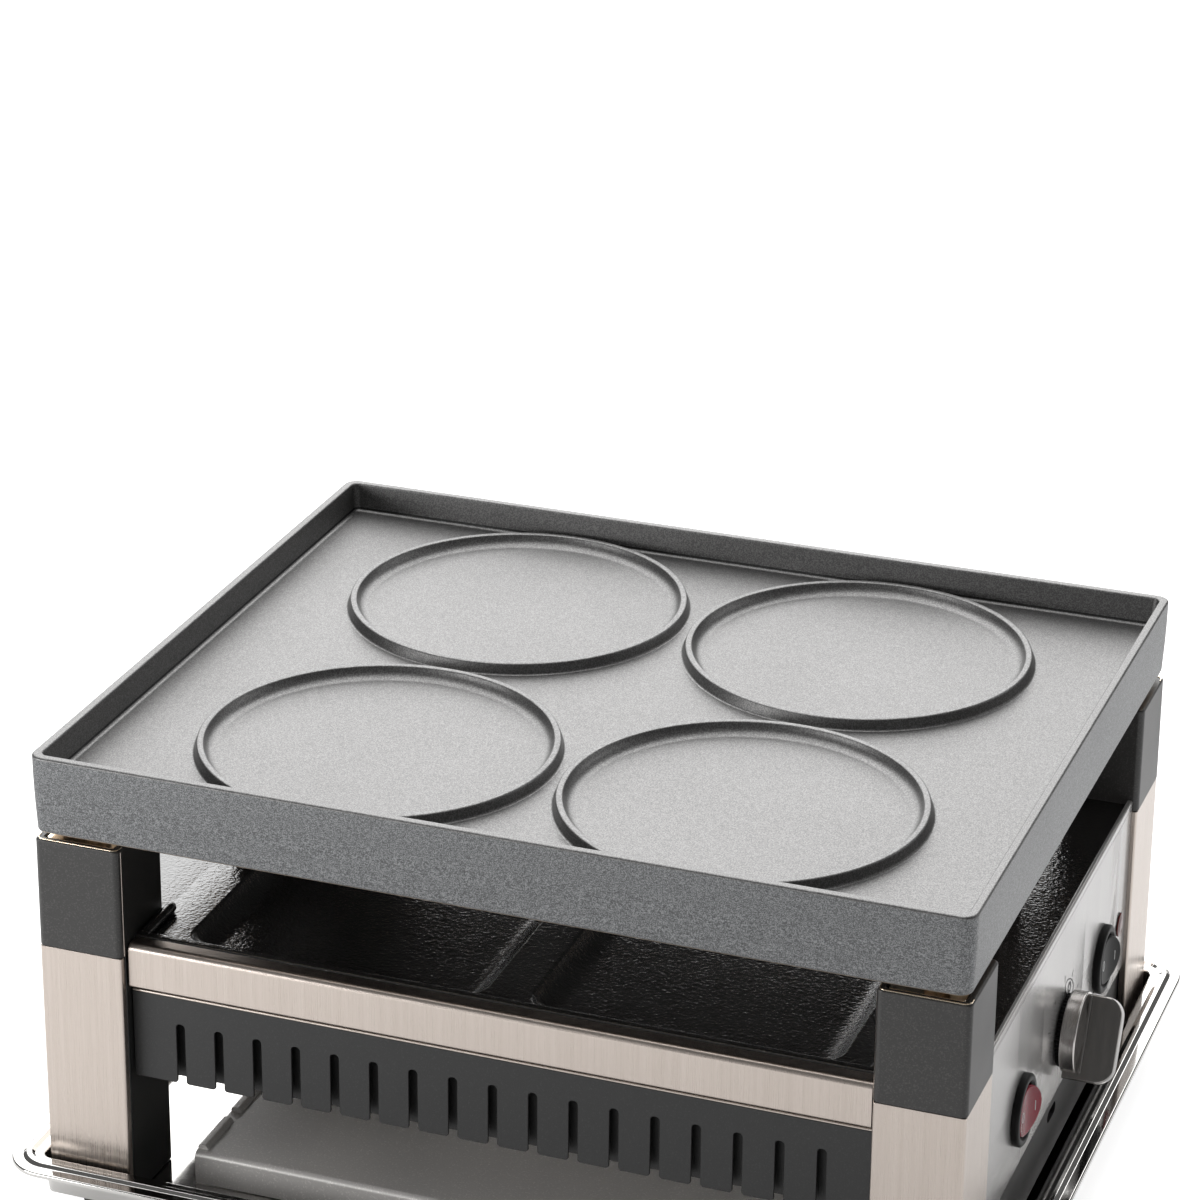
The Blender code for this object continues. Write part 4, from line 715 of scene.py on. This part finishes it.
def make_front(name, side):
    """The bar is a folded section run along x. The comb is one outline with round-topped slots,
    each slot the same run of points moved on by the pitch.
    """
    depth, flange = 7.0, 4.5
    section = rounded_path(
        ((0, BAR_FOOT), (0, BAR_TOP), (depth, BAR_TOP), (depth, BAR_TOP - SHEET),
         (SHEET, BAR_TOP - SHEET), (SHEET, BAR_FOOT + SHEET), (flange, BAR_FOOT + SHEET),
         (flange, BAR_FOOT)), (1.0, 2.6, 0.3, 0.3, 1.3, 0.2, 0.3, 0.3), 7, closed=True)
    bar = Shell().extrude(behind_face(section, BAR_FACE, side), "X", 0.8 - SPAN_X, SPAN_X - 0.8)
    bar.piece(name + "_bar", BASE, STEEL, [name + "_crossbar"], "brushed_stainless")

    slot = rounded_path(
        ((-3.2, COMB_FOOT), (-SLOT_HALF, COMB_FOOT), (-SLOT_HALF, SLOT_TOP), (SLOT_HALF, SLOT_TOP),
         (SLOT_HALF, COMB_FOOT), (3.2, COMB_FOOT)), (0, 1.2, 1.5, 1.5, 1.2, 0), 5)
    middles = (np.arange(SLOT_COUNT) - SLOT_COUNT // 2) * SLOT_PITCH
    slots = (slot + np.stack([middles, middles * 0], -1)[:, None]).reshape(-1, 2)
    ends = rounded_path(((SPAN_X - 3, COMB_FOOT), (SPAN_X, COMB_FOOT), (SPAN_X, COMB_TOP),
                         (-SPAN_X, COMB_TOP), (-SPAN_X, COMB_FOOT), (3 - SPAN_X, COMB_FOOT)),
                        (0, 1.2, 0.3, 0.3, 1.2, 0), 4)
    comb = Shell().extrude(np.concatenate([slots, ends]), "Y", side * COMB_FACE,
                           side * (COMB_FACE - COMB_SHEET))
    fold = rounded_path(((0.5, COMB_TOP - COMB_SHEET), (0.5, COMB_TOP), (4.0, COMB_TOP),
                         (4.0, COMB_TOP - COMB_SHEET)), 0.25, 3, closed=True)
    comb.extrude(behind_face(fold, COMB_FACE, side), "X", -SPAN_X, SPAN_X)
    bevelled(comb.piece(name + "_slotted_comb", BASE, LACQUER, [name + "_comb"], "black_lacquer"),
             0.28, segments=2, angle=50)

    # A thin steel strip on the comb's top edge: a painted highlight line under the bar
    lip = rounded_path(((-0.2, COMB_TOP + 0.1), (-0.2, COMB_TOP + 1.0), (3.6, COMB_TOP + 1.0),
                        (3.6, COMB_TOP + 0.1)), (0.2, 0.6, 0.3, 0.1), 5, closed=True)
    Shell().extrude(behind_face(lip, COMB_FACE, side), "X", 0.3 - SPAN_X, SPAN_X - 0.3).piece(
        name + "_steel_highlight_lip", BASE, STEEL, slot="brushed_stainless")

    low, high = sorted((side * (COMB_FACE - 6), side * (COMB_FACE - 5)))
    sheet = ((low, COMB_FOOT), (high, COMB_FOOT), (high, 92), (low, 92))
    strip = Shell().extrude(rounded_path(sheet, 0.3, 2, closed=True), "X", -SPAN_X, SPAN_X)
    strip.piece(name + "_inner_strip", BASE, LACQUER, [name + "_strip"], "black_lacquer")


# The pan tray

def make_pan_tray():
    """A quarter of the land joins a rectangle to a dish's round-cornered outline, which then
    shrinks inward as the wall's profile goes down. The four quarters mirror each other. The edge
    beads are sections run along x, and the round ends of the tray's wires are tubes whose radius
    falls off along a quarter of a circle.
    """
    steps = 8
    floor = PAN_TOP - DISH_DEPTH
    wall = rounded_path(((-2.5, PAN_TOP), (0, PAN_TOP), (5.0, floor), (12.0, floor)),
                        (0, 1.9, 12.0, 0), 10)
    inset, level = wall[1:].T
    half = DISH_HALF - inset
    rings = rounded_rings(half, half, np.maximum(10.0 - inset, 3.0), steps)
    centre = np.array((DISH_X, DISH_Y))
    edge = square_ring(rings[0], -centre, np.array((SPAN_X, PAN_EDGE_Y)) - centre, steps)
    rows = np.concatenate([edge[None], rings]) + centre
    levels = np.concatenate([[PAN_TOP], level])
    shell = Shell()
    for side_x, side_y in CORNERS.values():
        quarter = standing(rows * (side_x, side_y), "Z", levels[:, None])
        if side_x * side_y < 0:
            quarter = quarter[:, ::-1]
        shell.add_open(quarter, floor=True)
    tray = shell.piece("dished_tray", BASE, ENAMEL, ["pan_tray"], "black_enamel", weld=True)
    thickened(tray)

    trim = Shell()
    bead = rounded_path(((0, 112.2), (0, 115.4), (4.0, 115.4), (4.0, 112.2)),
                        (0.3, 1.3, 1.3, 0.3), 6, closed=True)
    wire_x, wire_radius, round_from = 134.6, 2.1, 0.86
    share = np.linspace(0, 1, 25)
    fall = np.clip((share - round_from) / (1 - round_from), 0, 1)
    radius = wire_radius * np.sqrt(np.clip(1 - fall ** 2, 0.02, 1))
    for side in (-1, 1):
        trim.extrude(behind_face(bead, PAN_EDGE_Y, side), "X", -SPAN_X, SPAN_X)
        low, high = sorted((side * (SPAN_X - 0.3), side * PAN_EDGE_X))
        wing = rounded_path(((low, PAN_TOP - SHEET), (high, PAN_TOP - SHEET), (high, PAN_TOP),
                             (low, PAN_TOP)), (0, 0.4, 0.4, 0), 3, closed=True)
        trim.extrude(wing, "Y", -SPAN_Y, SPAN_Y)
        for end in (-1, 1):
            line = np.linspace((side * wire_x, end * 127.0, 114.6),
                               (side * wire_x, end * 102.6, 115.0), len(share))
            line[:, 0] += side * 1.5 * np.clip((104.0 - np.abs(line[:, 1])) / 3, 0, 1)
            trim.tube(line, radius, 24)
    trim.piece("tray_edges", BASE, ENAMEL, slot="black_enamel")


# Side panels, housing and base

def panel_section(side, foot):
    """A sheet with its upper edge folded inward round a small radius."""
    back, fold = PANEL_FACE - SHEET, PANEL_FACE - PANEL_FLANGE
    points = rounded_path(
        ((PANEL_FACE, foot), (PANEL_FACE, BAR_TOP), (fold, BAR_TOP), (fold, BAR_TOP - SHEET),
         (back, BAR_TOP - SHEET), (back, foot)), (0.3, 0.9, 0.4, 0.3, 0.1, 0.3), 6, closed=True)
    return points * (side, 1)


def make_panels():
    """The control panel's face joins each round hole to the rectangle about it, and is given its
    thickness afterwards. The fold is a section run along y.
    """
    left = Shell().extrude(panel_section(-1, BAR_TOP - 54.0), "Y", -SPAN_Y, SPAN_Y)
    left.piece("left_side_panel", BASE, PANEL_STEEL, ["left_panel"], "brushed_stainless")

    steps = 14
    fold_foot = BAR_TOP - 3.0
    shell = Shell()
    seams = (-SPAN_Y, -25.0, 35.0, 84.0, SPAN_Y)
    holes = ((HEAT_SWITCH_Y, 12.5), (KNOB_Y, 3.7), (MAIN_SWITCH_Y, 12.5), (LAMP_Y, 4.1))
    for low_y, high_y, (y, radius) in zip(seams, seams[1:], holes):
        hole = rounded_rings(radius, radius, radius, steps)
        centre = np.array((y, CONTROL_Z))
        edge = square_ring(hole, np.array((low_y, PANEL_FOOT)) - centre,
                           np.array((high_y, fold_foot)) - centre, steps)
        shell.add_open(standing(np.stack([edge, hole]) + centre, "X", PANEL_FACE))
    thickened(shell.piece("control_panel_face", BASE, PANEL_STEEL, ["control_panel"],
                          "brushed_stainless", weld=True))
    fold = Shell().extrude(panel_section(1, fold_foot), "Y", -SPAN_Y, SPAN_Y)
    fold.piece("control_panel_fold", BASE, PANEL_STEEL, slot="brushed_stainless")


def make_base():
    """The tray's sheet profile runs round a rounded rectangle. The deck is a folded sheet with a
    raised lip along its left edge.
    """
    hem, bead = 23.2, TRAY_RIM + 1.2
    profile = rounded_path(
        ((13.0, TRAY_UNDERSIDE), (11.0, TRAY_RIM - 1.0), (1.0, TRAY_RIM - 1.0), (1.0, hem),
         (0.0, hem), (0.0, TRAY_RIM), (4.1, TRAY_RIM), (5.4, bead), (7.1, bead), (8.6, TRAY_RIM),
         (12.0, TRAY_RIM), (13.0, TRAY_FLOOR), (24.0, TRAY_FLOOR)),
        (0.8, 0.6, 0.5, 0.2, 0.2, 0.8, 0.9, 0.8, 0.8, 0.9, 1.0, 1.2, 0), 6)
    profile = np.concatenate([[(24.0, TRAY_UNDERSIDE)], profile])
    inset, level = profile.T
    rings = rounded_rings(TRAY_EDGE_X - inset, TRAY_EDGE_Y - inset,
                          np.maximum(TRAY_CORNER - inset, 2.0), 12)
    tray = Shell().add(standing(rings, "Z", level[:, None]))
    tray.piece("base_tray_pressing", BASE, POLISH, ["base_tray"], "polished_steel")

    y, inner, under = DECK_HALF_Y, DECK_HALF_Y - SHEET, DECK_TOP - SHEET
    section = rounded_path(
        ((y, DECK_FOOT), (y, DECK_TOP), (-y, DECK_TOP), (-y, DECK_FOOT), (-inner, DECK_FOOT),
         (-inner, under), (inner, under), (inner, DECK_FOOT)),
        (0.2, 2.2, 2.2, 0.2, 0.2, 1.2, 1.2, 0.2), 5, closed=True)
    deck = Shell().extrude(section, "X", DECK_LEFT, SPAN_X)
    lip = rounded_path(((0, -1.0), (0, 1.6), (3.0, 1.6), (4.6, -0.4)), (0.2, 1.0, 1.0, 0.2), 4,
                       closed=True) + (DECK_LEFT, DECK_TOP)
    for low_y, high_y in ((-115.0, -93.0), (-86.5, 86.5), (93.0, 115.0)):
        deck.extrude(lip, "Y", low_y, high_y)
    bevelled(deck.piece("deck_sheet", BASE, DECK_GREY, ["deck_plate"], "grey_sheet"), 0.35,
             segments=2, angle=60)


# Controls

def make_knob():
    """The disc is turned, with a domed face. The grip is a wedge of rounded rectangles across it,
    whose head and tail curve in along quarters of a circle. Both lean at rest. The back ring is
    turned, and its outer radius steps in and out as a square wave of the angle.
    """
    x, axis = PANEL_FACE, (KNOB_Y, CONTROL_Z)
    radius, foot, top, dome, steps = 15.2, 2.2, 8.0, 9.7, 128
    disc = rounded_path(((2.9, x + foot), (radius - 1, x + foot), (radius, x + foot),
                         (radius, x + top), (2.0, x + dome)), (0, 0, 0.7, 0.7, 0), 6)
    disc = np.concatenate([disc, [(0.2, x + dome)]])
    knob = Shell().turn(disc, "X", (0, 0), steps)
    # The disc's rim faces take the lighter nickel as a painted highlight
    rim = np.repeat(disc[:-1, 0] > radius - 0.9, steps)

    reach, bend, soft, head, tail = 21.2, 6.8, 0.9, 14.4, 17.3
    out = np.concatenate([[3.0, 9.0, 14.0], np.linspace(reach - bend, reach, 34)])
    curve = bend - np.sqrt(np.maximum(bend ** 2 - np.maximum(out - reach + bend, 0) ** 2, 0))
    edge = soft - np.sqrt(np.maximum(soft ** 2 - np.maximum(out - reach + soft, 0) ** 2, 0))
    width = np.interp(out, (top, reach), (4.1, 3.1))
    grip = rounded_rings(width - edge, (head + tail) / 2 - curve, soft, 6)
    grip[..., 1] += (head - tail) / 2
    knob.add(standing(grip, "X", x + out[:, None]))
    for seam_y in (-4.2, 4.2):
        knob.tube(np.linspace((x + 9.3, seam_y, -14.2), (x + 9.3, seam_y, 14.0), 24), 0.62, 16)
    knob.move(Matrix.Translation((0, *axis)) @ Matrix.Rotation(KNOB_LEAN, 4, "X"))
    numbers = np.append(rim.astype(int), np.zeros(len(knob.faces) - len(rim), int))
    bevelled(knob.piece("satin_knob", KNOB, NICKEL, ["knob"], "satin_nickel",
                        finish=(numbers, NICKEL_RIM_SHEEN)), 0.25, segments=2, angle=60)

    steps, teeth, depth = 240, 48, 0.022
    ring = rounded_path(((3.2, x + 0.35), (13.2, x + 0.35), (13.2, x + 2.4), (3.2, x + 2.4)),
                        (0, 0.3, 0.3, 0), 3, closed=True)
    rings = turned_rings(ring, "X", (0, 0), steps)
    outside = np.linalg.norm(rings[..., 1:], axis=-1) > 11
    wave = 1 + depth * np.sign(np.sin(all_round(steps) * teeth)) * outside
    rings[..., 1:] *= wave[..., None]
    Shell().add(rings + (0, *axis), loop_rows=True).piece(
        "knob_back_ring", KNOB, PLASTIC, slot="black_plastic")
    shaft = rounded_path(((0.3, x - 12.5), (3.0, x - 12.5), (3.0, x + 7.2), (0.3, x + 7.2)),
                         (0, 0.4, 0.4, 0), 3)
    Shell().turn(shaft, "X", axis, 40).piece("turned_shaft", KNOB, POLISH, ["knob_shaft"],
                                             "polished_steel")


def ribbon(centres, width):
    """A flat line printed on the panel: the route offset to both sides by half the width, and
    in front of and behind the panel's face by the marks' lift.
    """
    along = np.gradient(centres, axis=0)
    along /= np.linalg.norm(along, axis=1, keepdims=True)
    across = np.stack([-along[:, 1], along[:, 0]], -1) * width / 2
    low, high = PANEL_FACE - MARK_LIFT, PANEL_FACE + MARK_LIFT
    sides = [standing(centres - across, "X", low), standing(centres + across, "X", low),
             standing(centres + across, "X", high), standing(centres - across, "X", high)]
    return np.stack(sides, axis=1)


def make_dial():
    """Printed marks: a tapering ring (6.66 cos, -3.55 sin - 3.3 cos) above the knob with a nought
    (1.9 cos + 0.5 sin, 1.6 sin - 0.9 cos) in it, and ticks that point at the knob's middle.
    """
    marks = Shell()
    middle = np.array((13.4, 81.5))
    turn = all_round(80, closed=True)
    cos, sin = np.cos(turn), np.sin(turn)
    ring = middle + np.stack([6.66 * cos, -3.55 * sin - 3.3 * cos], -1)
    marks.add(ribbon(ring, 0.85 + 0.35 * sin[:, None]))
    for spot in ((5.6, 88.8), (17.6, 85.2), (27.0, 75.1), (-8.0, 86.0), (-15.5, 77.5),
                 (29.6, 65.5)):
        way = np.subtract(spot, (KNOB_Y, CONTROL_Z))
        way /= np.linalg.norm(way)
        marks.add(ribbon(spot + np.linspace(-1.3, 1.3, 4)[:, None] * way, 0.45))
    nought = middle + np.stack([1.9 * cos + 0.5 * sin, 1.6 * sin - 0.9 * cos], -1)
    marks.add(ribbon(nought, 1.3))
    marks.piece("dial_marks", BASE, PRINT, slot="black_lacquer")


def rocker_crown(across):
    """Height of the rocker's face: a shallow valley along its axis, 0.14 * sqrt(across ** 2 + 9),
    and an edge that rises with the cube of the distance across.
    """
    valley = 0.14 * (np.sqrt(across ** 2 + 9.0) - 3.0)
    return 3.0 + valley + 0.5 * (np.abs(across) / ROCKER_RADIUS) ** 3


def make_switch(name, y, rocker_material, rocker_slot):
    """The bezel is turned. The rocker is rings from its axis outward over the crown and down its
    wall, all tipped by the rest angle. Its marks are thin tubes sunk a little into the crown.
    """
    x, steps = PANEL_FACE, 96
    bezel = rounded_path(
        ((0.4, x - 15.0), (12.1, x - 15.0), (12.1, x + 0.3), (13.2, x + 0.3), (13.2, x + 2.9),
         (10.9, x + 2.9), (10.1, x + 1.9), (10.1, x - 5.6), (0.4, x - 5.6)),
        (0, 0.5, 0.1, 0.2, 1.2, 0.5, 0.3, 0.2, 0), 5)
    Shell().turn(bezel, "X", (y, CONTROL_Z), steps).piece(
        name + "_bezel", BASE, PLASTIC, [name + "_switch"], "black_plastic")

    share = np.concatenate([np.linspace(0.02, 0.94, 14), [0.975, 0.993, 1.0]])
    drop = np.concatenate([np.zeros(14), [0.08, 0.30, 0.62]])
    turn = all_round(steps)
    a = ROCKER_RADIUS * share[:, None] * np.cos(turn)
    b = ROCKER_RADIUS * share[:, None] * np.sin(turn)
    crown = np.stack([rocker_crown(a) - drop[:, None], a, b], -1)
    low = rounded_path(((ROCKER_RADIUS, 1.0), (8.4, -4.0), (0.4, -4.0)), (0, 0.6, 0), 4)
    under = turned_rings(low, "X", (0, 0), steps)
    place = Matrix.Translation((x, y, CONTROL_Z)) @ Matrix.Rotation(ROCKER_TIP, 4, "Z")
    rocker = Shell().add(np.concatenate([crown, under])).move(place)
    body = name + "_rocker_body"
    rocker.piece(name + "_rocker_cap", body, rocker_material, [name + "_rocker"], rocker_slot,
                 sharp=45)

    half_height, sunk, line_radius = 1.9, 0.10, 0.24
    turn = all_round(48, closed=True)
    a, b = -5.2 + 1.15 * np.cos(turn), half_height * np.sin(turn)
    nought = np.stack([rocker_crown(a) - sunk, a, b], -1)
    a, b = np.full(12, 5.4), np.linspace(-half_height, half_height, 12)
    bar = np.stack([rocker_crown(a) - sunk, a, b], -1)
    legend = Shell().tube(nought, line_radius, 10).tube(bar, line_radius, 10).move(place)
    legend.piece(name + "_legend", body, LEGEND, slot=rocker_slot)


def make_small_parts():
    """The lamp's lens is a turned dome, the cord inlet a turned bush with an open middle."""
    x = PANEL_FACE
    lens = rounded_path(((0.2, x + 1.15), (2.5, x + 1.1), (4.7, x + 0.75), (4.7, x + 0.3),
                         (0.2, x + 0.3)), (0, 3.0, 0.25, 0.1, 0), 5)
    Shell().turn(lens, "X", (LAMP_Y, CONTROL_Z), 64).piece("pilot_lens", BASE, LENS,
                                                           ["lamp_lens"], "red_lens")
    lip = INLET_FACE + 2.2
    inlet = rounded_path(((6.0, INLET_BACK), (6.0, INLET_FACE), (8.0, INLET_FACE), (6.9, lip),
                          (3.6, lip), (3.6, INLET_BACK)), (0.2, 0.1, 0.3, 0.6, 0.6, 0.2), 4,
                         closed=True)
    Shell().turn(inlet, "X", (INLET_Y, INLET_Z), 48, loop=True).piece(
        "inlet_bush", BASE, PLASTIC, ["cord_inlet"], "black_plastic")


# Heating elements

def make_elements():
    """Round tubes along routes with rounded bends. The second half of each route mirrors the
    first from the rear to the front.
    """
    z, low_z = PLATE_TOP - 22.3, 77
    upper = ((145, 14, z - 60), (145, 14, z), (145, 100, z), (-150, 100, z), (-150, 40, z),
             (90, 40, z))
    lower = ((147.7, 72, low_z), (-120, 72, low_z), (-120, 26, low_z), (95, 26, low_z))
    for name, half in (("upper", np.array(upper, float)), ("lower", np.array(lower, float))):
        corners = np.concatenate([half, half[::-1] * (1, -1, 1)])
        route = rounded_path(corners, ELEMENT_BEND, 10)
        Shell().tube(route, ELEMENT_RADIUS, 28).piece(
            name + "_element", BASE, OXIDE, [name + "_heater"], "element_sheath")


def dress_kept_solids():
    """Solids whose own shape is right keep it and get their finish."""
    finishes = {
        "control_housing": LACQUER, "thermostat": CERAMIC, "terminal_block": CERAMIC,
        "lamp_body": PLASTIC, "heater_support": OXIDE, "lower_heater_clip": OXIDE,
        "reflector": REFLECTOR,
    }
    for name, material in finishes.items():
        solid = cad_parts[name]
        solid.data.materials.clear()
        solid.data.materials.append(material)


# Studio

def make_stage():
    """A pale floor and a white world. Camera and mirror rays see them nearly white."""
    half, floor_grey = 4.0, 0.66
    corners = [(-half, -half, 0), (half, -half, 0), (half, half, 0), (-half, half, 0)]
    mesh = bpy.data.meshes.new("studio_floor")
    mesh.from_pydata(corners, [], [(0, 1, 2, 3)])
    placed("studio_floor", mesh)
    material, tree, shader = new_material("floor_white")
    shader.inputs["Base Color"].default_value = grey(floor_grey)
    shader.inputs["Roughness"].default_value = 0.9
    shader.inputs["Specular IOR Level"].default_value = 0.1
    mirror_glow, camera_glow = 0.32, 0.75
    rays = tree.nodes.new("ShaderNodeLightPath").outputs
    mirrored = math_node(tree, "MAXIMUM", rays["Is Glossy Ray"], rays["Is Transmission Ray"])
    seen = math_node(tree, "MAXIMUM", rays["Is Camera Ray"], mirrored)
    glow = ranged(tree, rays["Is Camera Ray"], mirror_glow, camera_glow)
    shader.inputs["Emission Color"].default_value = (1, 1, 1, 1)
    tree.links.new(math_node(tree, "MULTIPLY", seen, glow), shader.inputs["Emission Strength"])
    mesh.materials.append(material)

    world = bpy.data.worlds.new("studio")
    bpy.context.scene.world = world
    world.use_nodes = True
    tree = world.node_tree
    background = tree.nodes["Background"]
    plain, mirror_drop, camera_lift = 0.35, 0.20, 0.65
    rays = tree.nodes.new("ShaderNodeLightPath").outputs
    soft = math_node(tree, "SUBTRACT", plain,
                     math_node(tree, "MULTIPLY", rays["Is Glossy Ray"], mirror_drop))
    bright = math_node(tree, "ADD",
                       math_node(tree, "MULTIPLY", rays["Is Camera Ray"], camera_lift), soft)
    tree.links.new(bright, background.inputs["Strength"])
    background.inputs["Color"].default_value = (1, 1, 1, 1)


def add_light(name, place, target, size, power):
    """A rectangular softbox at a place in metres, which faces the target."""
    lamp = bpy.data.lights.new(name, "AREA")
    lamp.shape = "RECTANGLE"
    lamp.size, lamp.size_y = size
    lamp.energy = power
    holder = placed(name, lamp)
    holder.location = place
    holder.rotation_euler = (Vector(target) - Vector(place)).to_track_quat("-Z", "Y").to_euler()


def make_lights():
    """Softboxes behind, above, at the right and at the left front, and a weak fill in front."""
    middle = (0.0, 0.0, 0.12)
    add_light("back_softbox", (-0.60, 1.35, 1.15), middle, (2.3, 1.8), 44)
    add_light("top_softbox", (-0.3, 0.2, 1.7), middle, (1.5, 1.3), 16)
    add_light("right_softbox", (1.4, 0.9, 0.6), middle, (0.9, 0.8), 3.1)
    add_light("left_front_softbox", (-1.0, -1.1, 0.30), (-0.2, -0.3, 0.05), (0.8, 0.5), 11.5)
    add_light("front_fill", (0.15, -2.1, 0.3), middle, (0.5, 0.5), 0.4)


def make_camera():
    """The photograph's viewpoint: azimuth, elevation and a slight roll about the view line."""
    azimuth, elevation, roll = np.radians((20.454, 22.11, 0.286))
    frame_width = 1200
    back = Vector((math.sin(azimuth) * math.cos(elevation),
                   -math.cos(azimuth) * math.cos(elevation), math.sin(elevation)))
    level = Vector((math.cos(azimuth), math.sin(azimuth), 0))
    right = math.cos(roll) * level + math.sin(roll) * back.cross(level)
    pose = Matrix((right, back.cross(right), back)).transposed().to_4x4()
    pose.translation = (0.44868, -1.27793, 0.79140)
    camera = bpy.data.cameras.new("camera")
    camera.lens, camera.sensor_width = 122.35, 36
    camera.shift_x, camera.shift_y = 40 / frame_width, -70 / frame_width
    camera.clip_start = 0.05
    holder = placed("camera", camera)
    holder.matrix_world = pose
    bpy.context.scene.camera = holder


bpy.context.scene.view_settings.view_transform = "Standard"
make_camera()
make_griddle()
make_posts()
make_front("front", -1)
make_front("rear", 1)
make_pan_tray()
make_panels()
make_base()
make_knob()
make_dial()
make_switch("main", MAIN_SWITCH_Y, PLASTIC, "black_plastic")
make_switch("heat", HEAT_SWITCH_Y, RED, "red_lens")
make_small_parts()
make_elements()
dress_kept_solids()
flatten_shading()
make_stage()
make_lights()
